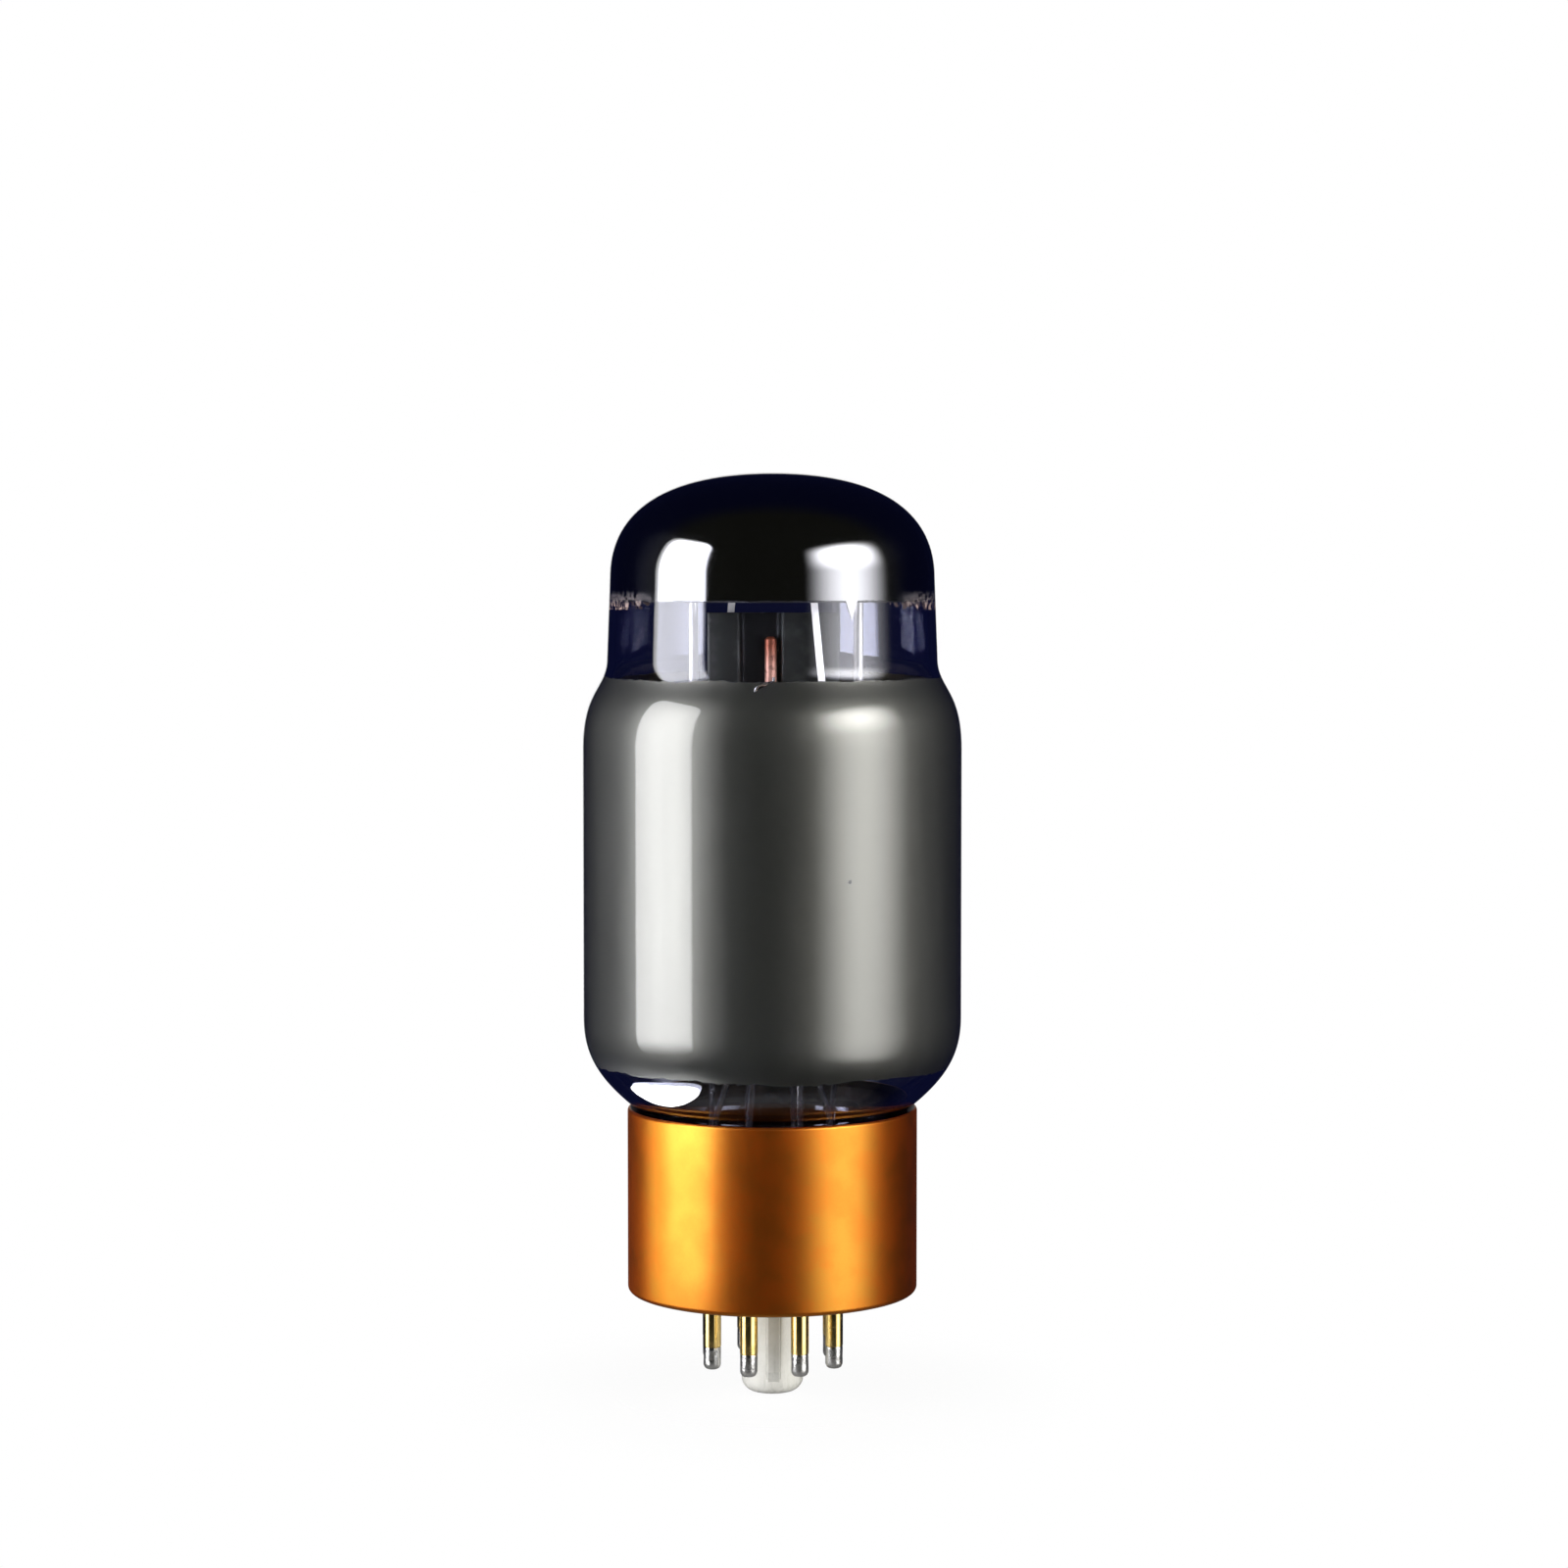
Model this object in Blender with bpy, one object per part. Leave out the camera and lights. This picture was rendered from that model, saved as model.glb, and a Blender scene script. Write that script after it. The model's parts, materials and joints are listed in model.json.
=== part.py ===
"""Beam power vacuum tube on an eight-pin metal-sleeved base.

The origin is on the tube's axis, in the plane of the base's bottom face, which
rests on a socket. +Z runs up towards the dome, and the rib of the guide key
points along -Y, which is the front. All sizes are in metres.
"""

from math import atan2, cos, hypot, pi, radians, sin

import bmesh
import bpy
from mathutils import Vector

# Clearances between pieces that fit or rest together
FIT = 0.0001
FILM_GAP = 0.0001

# Metal sleeve of the base
BASE_RADIUS = 0.0192
BASE_HEIGHT = 0.0251
BASE_WALL = 0.0012
BASE_EDGE_ROUNDING = 0.0007
BASE_LIP_WIDTH = 0.0045
BASE_LIP_THICKNESS = 0.0012
BASE_RIM_WIDTH = 0.0003
BASE_RIM_ROUNDING = 0.0002
CEMENT_THICKNESS = 0.0022
CEMENT_DEPTH_BELOW_RIM = 0.0065

# Insulator with its hollow guide key
INSULATOR_THICKNESS = 0.0034
KEY_RADIUS = 0.0041
KEY_LENGTH = 0.0136
KEY_END_ROUNDING = 0.0018
KEY_BORE_RADIUS = 0.0027
KEY_END_THICKNESS = 0.0018
RIB_WIDTH = 0.0020
RIB_REACH = 0.0009
RIB_END_SLOPE = 0.0016

# Contact pins and their tinned tips
PIN_COUNT = 8
PIN_CIRCLE_RADIUS = 0.008725
PIN_RADIUS = 0.00118
PIN_BORE_RADIUS = 0.00070
PIN_LENGTH = 0.0100
PIN_RISE_ABOVE_INSULATOR = 0.0005
TIP_LENGTH = 0.0029
TIP_ROUNDING = 0.0007
TIP_WALL = 0.00016
TIP_END_THICKNESS = 0.0006

# Blown bulb
GLASS_WALL = 0.0011
BULB_RADIUS = 0.02502
DOME_FOOT_RADIUS = 0.0214
BAND_FOOT_RADIUS = 0.0218
DOME_HEIGHT = 0.0138
DOME_CROWN_HANDLE = 0.0145
DOME_SIDE_HANDLE = 0.0085
BAND_LENGTH = 0.0095
UPPER_SHOULDER_LENGTH = 0.0120
BODY_LENGTH = 0.0365
LOWER_SHOULDER_LENGTH = 0.0098
LOWER_SHOULDER_HANDLE = 0.0050
CONE_OVERHANG = 0.0011
CONE_CLEARANCE = 0.0016
CONE_HANDLE = 0.0032
NECK_CURVE_LENGTH = 0.0072
NECK_CURVE_HANDLE = 0.0027
NECK_RISE_ABOVE_INSULATOR = 0.0035

# Films on the bulb's inner wall
COATING_THICKNESS = 0.0002
COATING_RISE = 0.0082
COATING_DROP = 0.0072
FLASH_THICKNESS = 0.00015

# Pressed glass button that closes the neck
BUTTON_THICKNESS = 0.0028
BUTTON_BEAD_RADIUS = 0.0015
BUTTON_BEAD_HEIGHT = 0.0014
EXHAUST_RADIUS = 0.0022
EXHAUST_BORE_RADIUS = 0.0011
EXHAUST_LENGTH = 0.0090
EXHAUST_TIP_LENGTH = 0.0032

# Lead wires
LEAD_RADIUS = 0.0004
LEAD_STRAIGHT_ABOVE_BUTTON = 0.0150
LEAD_WELD_LENGTH = 0.0014
LEAD_BEND_SHARE = 0.35

# Mica spacers
MICA_THICKNESS = 0.0004
MICA_TOOTH_COUNT = 16
MICA_TOOTH_HEIGHT = 0.0012
MICA_WALL_GAP = 0.00015
LOWER_MICA_RISE = 0.0006
UPPER_MICA_RISE = 0.0040
TOP_MICA_DROP = 0.0032

# Electrodes, from the cathode outwards. Width runs along Y and depth along X
CATHODE_WIDTH = 0.0064
CATHODE_DEPTH = 0.0022
CATHODE_WALL = 0.0002
CATHODE_OVERHANG = 0.0016
HEATER_WIRE_RADIUS = 0.0003
HEATER_STRANDS = 4
HEATER_LEG_LENGTH = 0.0016
GRID_ROD_RADIUS = 0.0005
GRID_WIRE_RADIUS = 0.00012
GRID_TURNS = 11
GRID_END_MARGIN = 0.0030
GRID_BEND_LENGTH = 0.0017
ROD_TAIL_LENGTH = 0.0024
CATHODE_TO_CONTROL_ROD = 0.0014
CATHODE_TO_CONTROL_WIRE = 0.0009
CONTROL_TO_SCREEN_ROD = 0.0024
CONTROL_TO_SCREEN_WIRE = 0.0015
CONTROL_ROD_HEIGHT_ABOVE_MICA = 0.0088
SCREEN_ROD_HEIGHT_ABOVE_MICA = 0.0020
BEAM_PLATE_THICKNESS = 0.0003
SCREEN_TO_BEAM_PLATE = 0.0013
BEAM_PLATE_WING = 0.0022
BEAM_PLATE_FLANK = 0.0026
ANODE_THICKNESS = 0.0004
ANODE_WIDTH_GAP = 0.0016
ANODE_DEPTH_GAP = 0.0030
ANODE_CORNER_CUT = 0.0018
ANODE_RIB_DEPTH = 0.0006
ANODE_RIB_WIDTH = 0.0020
ANODE_MICA_GAP = 0.0015
ANODE_FLANGE_LENGTH = 0.0046
POST_RADIUS = 0.0006
POST_INSET = 0.0022
POST_TAIL_LENGTH = 0.0030
POST_RISE_ABOVE_TOP_MICA = 0.0012

# Radiators welded behind the control grid's rods
RADIATOR_WIDTH = 0.0172
RADIATOR_THICKNESS = 0.0003
RADIATOR_FOLD = 0.0016
RADIATOR_CHANNEL_DEPTH = 0.0013
RADIATOR_CHANNEL_WIDTH = 0.0050
RADIATOR_CHANNEL_OFFSET = 0.0014
RADIATOR_CHANNEL_SLOPE = 0.0004
RADIATOR_HEIGHT = 0.0112
RADIATOR_MICA_GAP = 0.0006

# Ring getters on their stalks above the top mica
GETTER_RING_RADIUS = 0.0046
GETTER_SECTION_RADIUS = 0.0006
GETTER_OFFSET = 0.0062
GETTER_HEIGHT_ABOVE_MICA = 0.0056
STALK_WIDTH = 0.0008
STALK_THICKNESS = 0.0003
STALK_FOOT_X = 0.0066
STALK_TOP_X = 0.0046
JUMPER_RADIUS = 0.0002
JUMPER_REACH = 0.0022
JUMPER_RISE = 0.0030

# Number of flats on round pieces
TURNED_SIDES = 32
STEM_SIDES = 20
PIN_SIDES = 12
RING_SECTION_SIDES = 6
HOLE_SIDES = 8
ROD_SIDES = 8
ARC_STEPS = 3
NECK_STEPS = 3
CURVE_STEPS = 4
DOME_STEPS = 7

# Heights that several pieces share, counted up from the base's bottom face
INSULATOR_TOP = BASE_LIP_THICKNESS + FIT + INSULATOR_THICKNESS
CONE_TOP = BASE_HEIGHT + CONE_CLEARANCE
BODY_LOW = CONE_TOP + LOWER_SHOULDER_LENGTH
BODY_HIGH = BODY_LOW + BODY_LENGTH
BAND_LOW = BODY_HIGH + UPPER_SHOULDER_LENGTH
DOME_LOW = BAND_LOW + BAND_LENGTH
BULB_TOP = DOME_LOW + DOME_HEIGHT
NECK_TOP = CONE_TOP - NECK_CURVE_LENGTH
NECK_END = INSULATOR_TOP + NECK_RISE_ABOVE_INSULATOR
BUTTON_TOP = NECK_END + BUTTON_THICKNESS
COATING_TOP = BODY_HIGH + COATING_RISE
COATING_LOW = BODY_LOW - COATING_DROP
LOWER_MICA = BODY_LOW + LOWER_MICA_RISE
UPPER_MICA = BODY_HIGH + UPPER_MICA_RISE
TOP_MICA = DOME_LOW - TOP_MICA_DROP
UPPER_MICA_TOP = UPPER_MICA + MICA_THICKNESS
TOP_MICA_TOP = TOP_MICA + MICA_THICKNESS
LOWER_MICA_TOP = LOWER_MICA + MICA_THICKNESS

# Radii and offsets that several pieces share
BASE_INNER_RADIUS = BASE_RADIUS - BASE_WALL
BASE_LIP_RADIUS = BASE_RADIUS - BASE_LIP_WIDTH
NECK_RADIUS = BASE_INNER_RADIUS - 2 * FIT - CEMENT_THICKNESS
CONE_TOP_RADIUS = BASE_RADIUS + CONE_OVERHANG
CONTROL_ROD_Y = CATHODE_WIDTH / 2 + CATHODE_TO_CONTROL_ROD
SCREEN_ROD_Y = CONTROL_ROD_Y + CONTROL_TO_SCREEN_ROD
CONTROL_HALF_DEPTH = CATHODE_DEPTH / 2 + CATHODE_TO_CONTROL_WIRE
SCREEN_HALF_DEPTH = CONTROL_HALF_DEPTH + CONTROL_TO_SCREEN_WIRE
BEAM_PLATE_Y = SCREEN_ROD_Y + GRID_ROD_RADIUS + SCREEN_TO_BEAM_PLATE
BEAM_PLATE_X = SCREEN_HALF_DEPTH + BEAM_PLATE_WING
ANODE_Y = BEAM_PLATE_Y + BEAM_PLATE_THICKNESS + ANODE_WIDTH_GAP
ANODE_X = BEAM_PLATE_X + ANODE_DEPTH_GAP
POST_X = ANODE_X + POST_INSET
FLANGE_X = ANODE_X + ANODE_FLANGE_LENGTH


def clear_scene():
    """Removes every object that the scene holds."""
    for item in list(bpy.data.objects):
        bpy.data.objects.remove(item, do_unlink=True)


def material(name, colour, roughness, metallic=0.0, alpha=1.0):
    """A plain Principled material for one finish."""
    made = bpy.data.materials.new(name)
    made.use_nodes = True
    shader = made.node_tree.nodes["Principled BSDF"]
    shader.inputs["Base Color"].default_value = (*colour, 1.0)
    shader.inputs["Roughness"].default_value = roughness
    shader.inputs["Metallic"].default_value = metallic
    shader.inputs["Alpha"].default_value = alpha
    return made


def make_materials():
    """Every finish of the tube, by name."""
    return {
        "gold_anodised": material("gold_anodised", (0.80, 0.36, 0.04), 0.30, 1.0),
        "white_ceramic": material("white_ceramic", (0.78, 0.77, 0.73), 0.30),
        "base_cement": material("base_cement", (0.35, 0.30, 0.22), 0.90),
        "gold_plate": material("gold_plate", (0.86, 0.68, 0.28), 0.18, 1.0),
        "solder": material("solder", (0.70, 0.71, 0.72), 0.25, 1.0),
        "blue_glass": material("blue_glass", (0.04, 0.05, 0.16), 0.03, 0.0, 0.35),
        "clear_glass": material("clear_glass", (0.60, 0.66, 0.72), 0.05, 0.0, 0.45),
        "graphite_film": material("graphite_film", (0.10, 0.105, 0.095), 0.35),
        "getter_mirror": material("getter_mirror", (0.03, 0.03, 0.04), 0.08, 1.0),
        "mica": material("mica", (0.62, 0.52, 0.36), 0.35, 0.0, 0.8),
        "nickel": material("nickel", (0.62, 0.60, 0.57), 0.28, 1.0),
        "copper": material("copper", (0.80, 0.36, 0.22), 0.25, 1.0),
        "carbonised": material("carbonised", (0.035, 0.035, 0.033), 0.55),
        "cathode_oxide": material("cathode_oxide", (0.80, 0.80, 0.78), 0.80),
    }


def link(item, finish, angle=radians(35)):
    """Adds an object to the scene in its finish, with its round faces shaded smooth."""
    bpy.context.scene.collection.objects.link(item)
    item.data.materials.append(finish)
    if item.type == "MESH":
        item.data.shade_smooth()
        item.data.set_sharp_from_angle(angle=angle)
    return item


def from_bmesh(name, shape, finish):
    """A linked object that holds a finished bmesh."""
    mesh = bpy.data.meshes.new(name)
    shape.to_mesh(mesh)
    shape.free()
    return link(bpy.data.objects.new(name, mesh), finish)


def arc(centre, radius, start, end, steps=ARC_STEPS):
    """Points along an arc in a plane, from one angle to the other, ends included."""
    turns = [start + (end - start) * i / steps for i in range(steps + 1)]
    return [(centre[0] + radius * cos(t), centre[1] + radius * sin(t)) for t in turns]


def bezier(start, handle_a, handle_b, end, steps=CURVE_STEPS):
    """Points along a cubic curve, without its first point."""
    points = []
    for i in range(1, steps + 1):
        t = i / steps
        weights = ((1 - t) ** 3, 3 * (1 - t) ** 2 * t, 3 * (1 - t) * t**2, t**3)
        corners = (start, handle_a, handle_b, end)
        points.append(tuple(sum(w * c[k] for w, c in zip(weights, corners)) for k in (0, 1)))
    return points


def turned_bmesh(outline, sides):
    """A closed bmesh made by turning (radius, height) points about the Z axis."""
    shape = bmesh.new()
    verts = [shape.verts.new((radius, 0.0, height)) for radius, height in outline]
    edges = [shape.edges.new((verts[i - 1], verts[i])) for i in range(len(verts))]
    on_axis = [e for e in edges if all(abs(v.co.x) < 1e-9 for v in e.verts)]
    bmesh.ops.delete(shape, geom=on_axis, context="EDGES")
    bmesh.ops.spin(
        shape,
        geom=shape.verts[:] + shape.edges[:],
        axis=(0, 0, 1),
        cent=(0, 0, 0),
        angle=2 * pi,
        steps=sides,
    )
    bmesh.ops.remove_doubles(shape, verts=shape.verts[:], dist=1e-7)
    bmesh.ops.recalc_face_normals(shape, faces=shape.faces[:])
    return shape


def turned(name, outline, finish, sides=TURNED_SIDES, place=(0.0, 0.0)):
    """A turned piece whose axis stands at a place in the XY plane."""
    item = from_bmesh(name, turned_bmesh(outline, sides), finish)
    item.location = (place[0], place[1], 0.0)
    return item


def rod(name, place, low, high, radius, finish, sides=ROD_SIDES):
    """A straight upright rod."""
    return turned(name, [(0, high), (radius, high), (radius, low), (0, low)], finish, sides, place)


def circle(centre, radius, sides=HOLE_SIDES):
    """Corners of a regular polygon that holds a round rod of that radius."""
    reach = radius / cos(pi / sides)
    turns = [2 * pi * (i + 0.5) / sides for i in range(sides)]
    return [(centre[0] + reach * cos(t), centre[1] + reach * sin(t)) for t in turns]


def plate(name, outlines, low, high, finish):
    """A flat plate cut to the first outline, with the others as holes in it."""
    curve = bpy.data.curves.new(name, "CURVE")
    curve.dimensions = "2D"
    curve.fill_mode = "BOTH"
    curve.extrude = (high - low) / 2
    for outline in outlines:
        spline = curve.splines.new("POLY")
        spline.points.add(len(outline) - 1)
        for point, (x, y) in zip(spline.points, outline):
            point.co = (x, y, 0.0, 1.0)
        spline.use_cyclic_u = True
    item = link(bpy.data.objects.new(name, curve), finish)
    item.location = (0.0, 0.0, (high + low) / 2)
    return item


def wire(name, route, radius, finish, resolution=1):
    """A round wire along a route of 3D points, with its ends closed."""
    curve = bpy.data.curves.new(name, "CURVE")
    curve.dimensions = "3D"
    curve.bevel_depth = radius
    curve.bevel_resolution = resolution
    curve.use_fill_caps = True
    spline = curve.splines.new("POLY")
    spline.points.add(len(route) - 1)
    for point, co in zip(spline.points, route):
        point.co = (*co, 1.0)
    return link(bpy.data.objects.new(name, curve), finish)


def rounded_route(corners, share=LEAD_BEND_SHARE, steps=2):
    """A route through corner points, with each inner corner eased into a short curve."""
    points = [Vector(c) for c in corners]
    route = [points[0]]
    for before, here, after in zip(points, points[1:], points[2:]):
        start = here.lerp(before, share)
        end = here.lerp(after, share)
        for i in range(steps + 1):
            t = i / steps
            route.append(start.lerp(here, t).lerp(here.lerp(end, t), t))
    route.append(points[-1])
    return route


def sheet_section(path, thickness):
    """The outline of a sheet of that thickness, folded along a path. The sheet lies on the path's left."""
    left = []
    for i, (x, y) in enumerate(path):
        sides = []
        for a, b in ((i - 1, i), (i, i + 1)):
            if a >= 0 and b < len(path):
                dx, dy = path[b][0] - path[a][0], path[b][1] - path[a][1]
                length = hypot(dx, dy)
                sides.append(Vector((-dy / length, dx / length)))
        normal = sum(sides, Vector((0.0, 0.0))).normalized()
        reach = thickness / normal.dot(sides[0])
        left.append((x + normal.x * reach, y + normal.y * reach))
    return list(path) + left[::-1]


def cut(item, cutter):
    """Takes one shape away from another when the object is evaluated."""
    cutter.hide_render = True
    cutter.display_type = "WIRE"
    modifier = item.modifiers.new("cut " + cutter.name, "BOOLEAN")
    modifier.operation = "DIFFERENCE"
    modifier.object = cutter


def join(item, other):
    """Fuses a second shape into an object when it is evaluated."""
    other.hide_render = True
    other.display_type = "WIRE"
    modifier = item.modifiers.new("join " + other.name, "BOOLEAN")
    modifier.operation = "UNION"
    modifier.object = other


def pin_places():
    """Where the pins stand, numbered clockwise from the key's rib as seen from below."""
    step = 2 * pi / PIN_COUNT
    turns = [step * (i + 0.5) for i in range(PIN_COUNT)]
    return [(PIN_CIRCLE_RADIUS * sin(t), -PIN_CIRCLE_RADIUS * cos(t)) for t in turns]


def bored_at_pins(name, outline, sides, finish):
    """One helper shape with a copy of a turned outline at each pin's place."""
    shape = bmesh.new()
    for x, y in pin_places():
        single = turned_bmesh(outline, sides)
        bmesh.ops.translate(single, verts=single.verts[:], vec=(x, y, 0.0))
        mesh = bpy.data.meshes.new(name)
        single.to_mesh(mesh)
        single.free()
        shape.from_mesh(mesh)
        bpy.data.meshes.remove(mesh)
    return from_bmesh(name, shape, finish)


def bulb_outline():
    """The bulb's outer wall as (radius, height) points, from the crown down to the neck's end."""
    crown = (0.0, BULB_TOP)
    dome_foot = (DOME_FOOT_RADIUS, DOME_LOW)
    band_foot = (BAND_FOOT_RADIUS, BAND_LOW)
    body_top = (BULB_RADIUS, BODY_HIGH)
    body_foot = (BULB_RADIUS, BODY_LOW)
    cone_top = (CONE_TOP_RADIUS, CONE_TOP)
    neck_top = (NECK_RADIUS, NECK_TOP)
    half_shoulder = UPPER_SHOULDER_LENGTH / 2
    points = [crown]
    points += bezier(
        crown,
        (DOME_CROWN_HANDLE, BULB_TOP),
        (DOME_FOOT_RADIUS, DOME_LOW + DOME_SIDE_HANDLE),
        dome_foot,
        DOME_STEPS,
    )
    points.append(band_foot)
    points += bezier(
        band_foot,
        (BAND_FOOT_RADIUS, BAND_LOW - half_shoulder),
        (BULB_RADIUS, BODY_HIGH + half_shoulder),
        body_top,
    )
    points.append(body_foot)
    points += bezier(
        body_foot,
        (BULB_RADIUS, BODY_LOW - LOWER_SHOULDER_HANDLE),
        (CONE_TOP_RADIUS + CONE_HANDLE, CONE_TOP + CONE_HANDLE),
        cone_top,
    )
    points += bezier(
        cone_top,
        (CONE_TOP_RADIUS - CONE_HANDLE, CONE_TOP - CONE_HANDLE),
        (NECK_RADIUS, NECK_TOP + NECK_CURVE_HANDLE),
        neck_top,
        NECK_STEPS,
    )
    points.append((NECK_RADIUS, NECK_END))
    return points


def inset(points, distance):
    """A wall outline moved inwards by a distance. Its first point stays on the axis."""
    moved = []
    for i, (radius, height) in enumerate(points):
        before = points[max(i - 1, 0)]
        after = points[min(i + 1, len(points) - 1)]
        dr, dz = after[0] - before[0], after[1] - before[1]
        length = hypot(dr, dz)
        if i == 0:
            moved.append((0.0, height - distance))
        elif i == len(points) - 1:
            moved.append((radius - distance, height))
        else:
            moved.append((radius + dz / length * distance, height - dr / length * distance))
    return moved


def between(points, low, high):
    """The stretch of a falling outline between two heights, with its ends cut there."""
    kept = []
    for (r0, z0), (r1, z1) in zip(points, points[1:]):
        for z in (high, low):
            if z1 < z < z0:
                share = (z0 - z) / (z0 - z1)
                kept.append((r0 + (r1 - r0) * share, z))
        if low <= z1 <= high:
            kept.append((r1, z1))
    if low <= points[0][1] <= high:
        kept.insert(0, points[0])
    return kept


def wall_radius(height, distance):
    """The radius at a height of the bulb's wall, moved inwards by a distance."""
    return between(inset(bulb_outline(), distance), height, BULB_TOP)[-1][0]


def make_base(finish):
    """The metal sleeve, its insulator with the guide key, and the cement round the neck."""
    rim_inner = BASE_RADIUS - BASE_RIM_WIDTH
    chamfer = rim_inner - BASE_INNER_RADIUS
    edge = BASE_EDGE_ROUNDING
    rim = BASE_RIM_ROUNDING
    outline = arc((BASE_RADIUS - rim, BASE_HEIGHT - rim), rim, pi / 2, 0, 2)
    outline += arc((BASE_RADIUS - edge, edge), edge, 0, -pi / 2)
    outline += [
        (BASE_LIP_RADIUS, 0.0),
        (BASE_LIP_RADIUS, BASE_LIP_THICKNESS),
        (BASE_INNER_RADIUS, BASE_LIP_THICKNESS),
        (BASE_INNER_RADIUS, BASE_HEIGHT - chamfer),
        (rim_inner, BASE_HEIGHT),
    ]
    turned("base_shell", outline, finish["gold_anodised"])

    seat = BASE_LIP_THICKNESS + FIT
    key_side = KEY_RADIUS - KEY_END_ROUNDING
    outline = [
        (KEY_BORE_RADIUS, INSULATOR_TOP),
        (BASE_INNER_RADIUS - FIT, INSULATOR_TOP),
        (BASE_INNER_RADIUS - FIT, seat),
        (BASE_LIP_RADIUS - FIT, seat),
        (BASE_LIP_RADIUS - FIT, 0.0),
        (KEY_RADIUS, 0.0),
    ]
    outline += arc((key_side, KEY_END_ROUNDING - KEY_LENGTH), KEY_END_ROUNDING, 0, -pi / 2)
    outline += [
        (0.0, -KEY_LENGTH),
        (0.0, KEY_END_THICKNESS - KEY_LENGTH),
        (KEY_BORE_RADIUS, KEY_END_THICKNESS - KEY_LENGTH),
    ]
    insulator = turned("base_insulator", outline, finish["white_ceramic"])
    join(insulator, key_rib(finish["white_ceramic"]))
    hole = PIN_RADIUS + FIT
    above, below = INSULATOR_TOP + BASE_HEIGHT, -PIN_LENGTH
    drill = [(0, above), (hole, above), (hole, below), (0, below)]
    cut(insulator, bored_at_pins("pin_drills", drill, PIN_SIDES, finish["gold_plate"]))

    cement_top = BASE_HEIGHT - CEMENT_DEPTH_BELOW_RIM
    cement_low = NECK_END + FIT
    outer, inner = BASE_INNER_RADIUS - FIT, NECK_RADIUS + FIT
    outline = [(outer, cement_top), (outer, cement_low), (inner, cement_low), (inner, cement_top)]
    turned("base_cement", outline, finish["base_cement"])


def key_rib(finish):
    """The rib that runs down the front of the guide key and slopes off at its end."""
    root = KEY_RADIUS - (KEY_RADIUS - KEY_BORE_RADIUS) / 2
    reach = KEY_RADIUS + RIB_REACH
    low = KEY_END_ROUNDING - KEY_LENGTH
    profile = [(root, BASE_LIP_THICKNESS), (reach, BASE_LIP_THICKNESS)]
    profile += [(reach, low + RIB_END_SLOPE), (KEY_RADIUS - FIT, low), (root, low)]
    shape = bmesh.new()
    corners = [shape.verts.new((-RIB_WIDTH / 2, -y, z)) for y, z in profile]
    face = shape.faces.new(corners)
    swept = bmesh.ops.extrude_face_region(shape, geom=[face])["geom"]
    moved = [v for v in swept if isinstance(v, bmesh.types.BMVert)]
    bmesh.ops.translate(shape, verts=moved, vec=(RIB_WIDTH, 0.0, 0.0))
    bmesh.ops.recalc_face_normals(shape, faces=shape.faces[:])
    return from_bmesh("key_rib", shape, finish)


def make_pins(finish):
    """The hollow contact pins, moulded into the insulator, and the solder on their tips."""
    pin_top = INSULATOR_TOP + PIN_RISE_ABOVE_INSULATOR
    spigot = PIN_RADIUS - TIP_WALL - FIT
    pin_end = TIP_END_THICKNESS + FIT - PIN_LENGTH
    step = TIP_LENGTH - PIN_LENGTH
    pin = [
        (PIN_BORE_RADIUS, pin_top),
        (PIN_RADIUS, pin_top),
        (PIN_RADIUS, step + FIT),
        (spigot, step + FIT),
        (spigot, pin_end),
        (PIN_BORE_RADIUS, pin_end),
    ]
    shoulder = TIP_ROUNDING - PIN_LENGTH
    tip = [(PIN_RADIUS, step)]
    tip += arc((PIN_RADIUS - TIP_ROUNDING, shoulder), TIP_ROUNDING, 0, -pi / 2, 2)
    tip += [
        (0.0, -PIN_LENGTH),
        (0.0, TIP_END_THICKNESS - PIN_LENGTH),
        (PIN_RADIUS - TIP_WALL, TIP_END_THICKNESS - PIN_LENGTH),
        (PIN_RADIUS - TIP_WALL, step),
    ]
    for number, place in enumerate(pin_places(), 1):
        turned(f"pin_{number}", pin, finish["gold_plate"], PIN_SIDES, place)
        turned(f"solder_tip_{number}", tip, finish["solder"], PIN_SIDES, place)


def make_bulb(finish):
    """The glass bulb, the graphite film on its body and the getter's mirror in its dome."""
    outer = bulb_outline()
    turned("glass_envelope", outer + inset(outer, GLASS_WALL)[::-1], finish["blue_glass"])

    film_face = GLASS_WALL + FILM_GAP
    coating_face = between(inset(outer, film_face), COATING_LOW, COATING_TOP)
    coating_back = between(inset(outer, film_face + COATING_THICKNESS), COATING_LOW, COATING_TOP)
    turned("graphite_coating", coating_face + coating_back[::-1], finish["graphite_film"])

    flash_face = between(inset(outer, film_face), TOP_MICA, BULB_TOP)
    flash_back = between(inset(outer, film_face + FLASH_THICKNESS), TOP_MICA, BULB_TOP)
    turned("getter_flash", flash_face + flash_back[::-1], finish["getter_mirror"])


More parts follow.
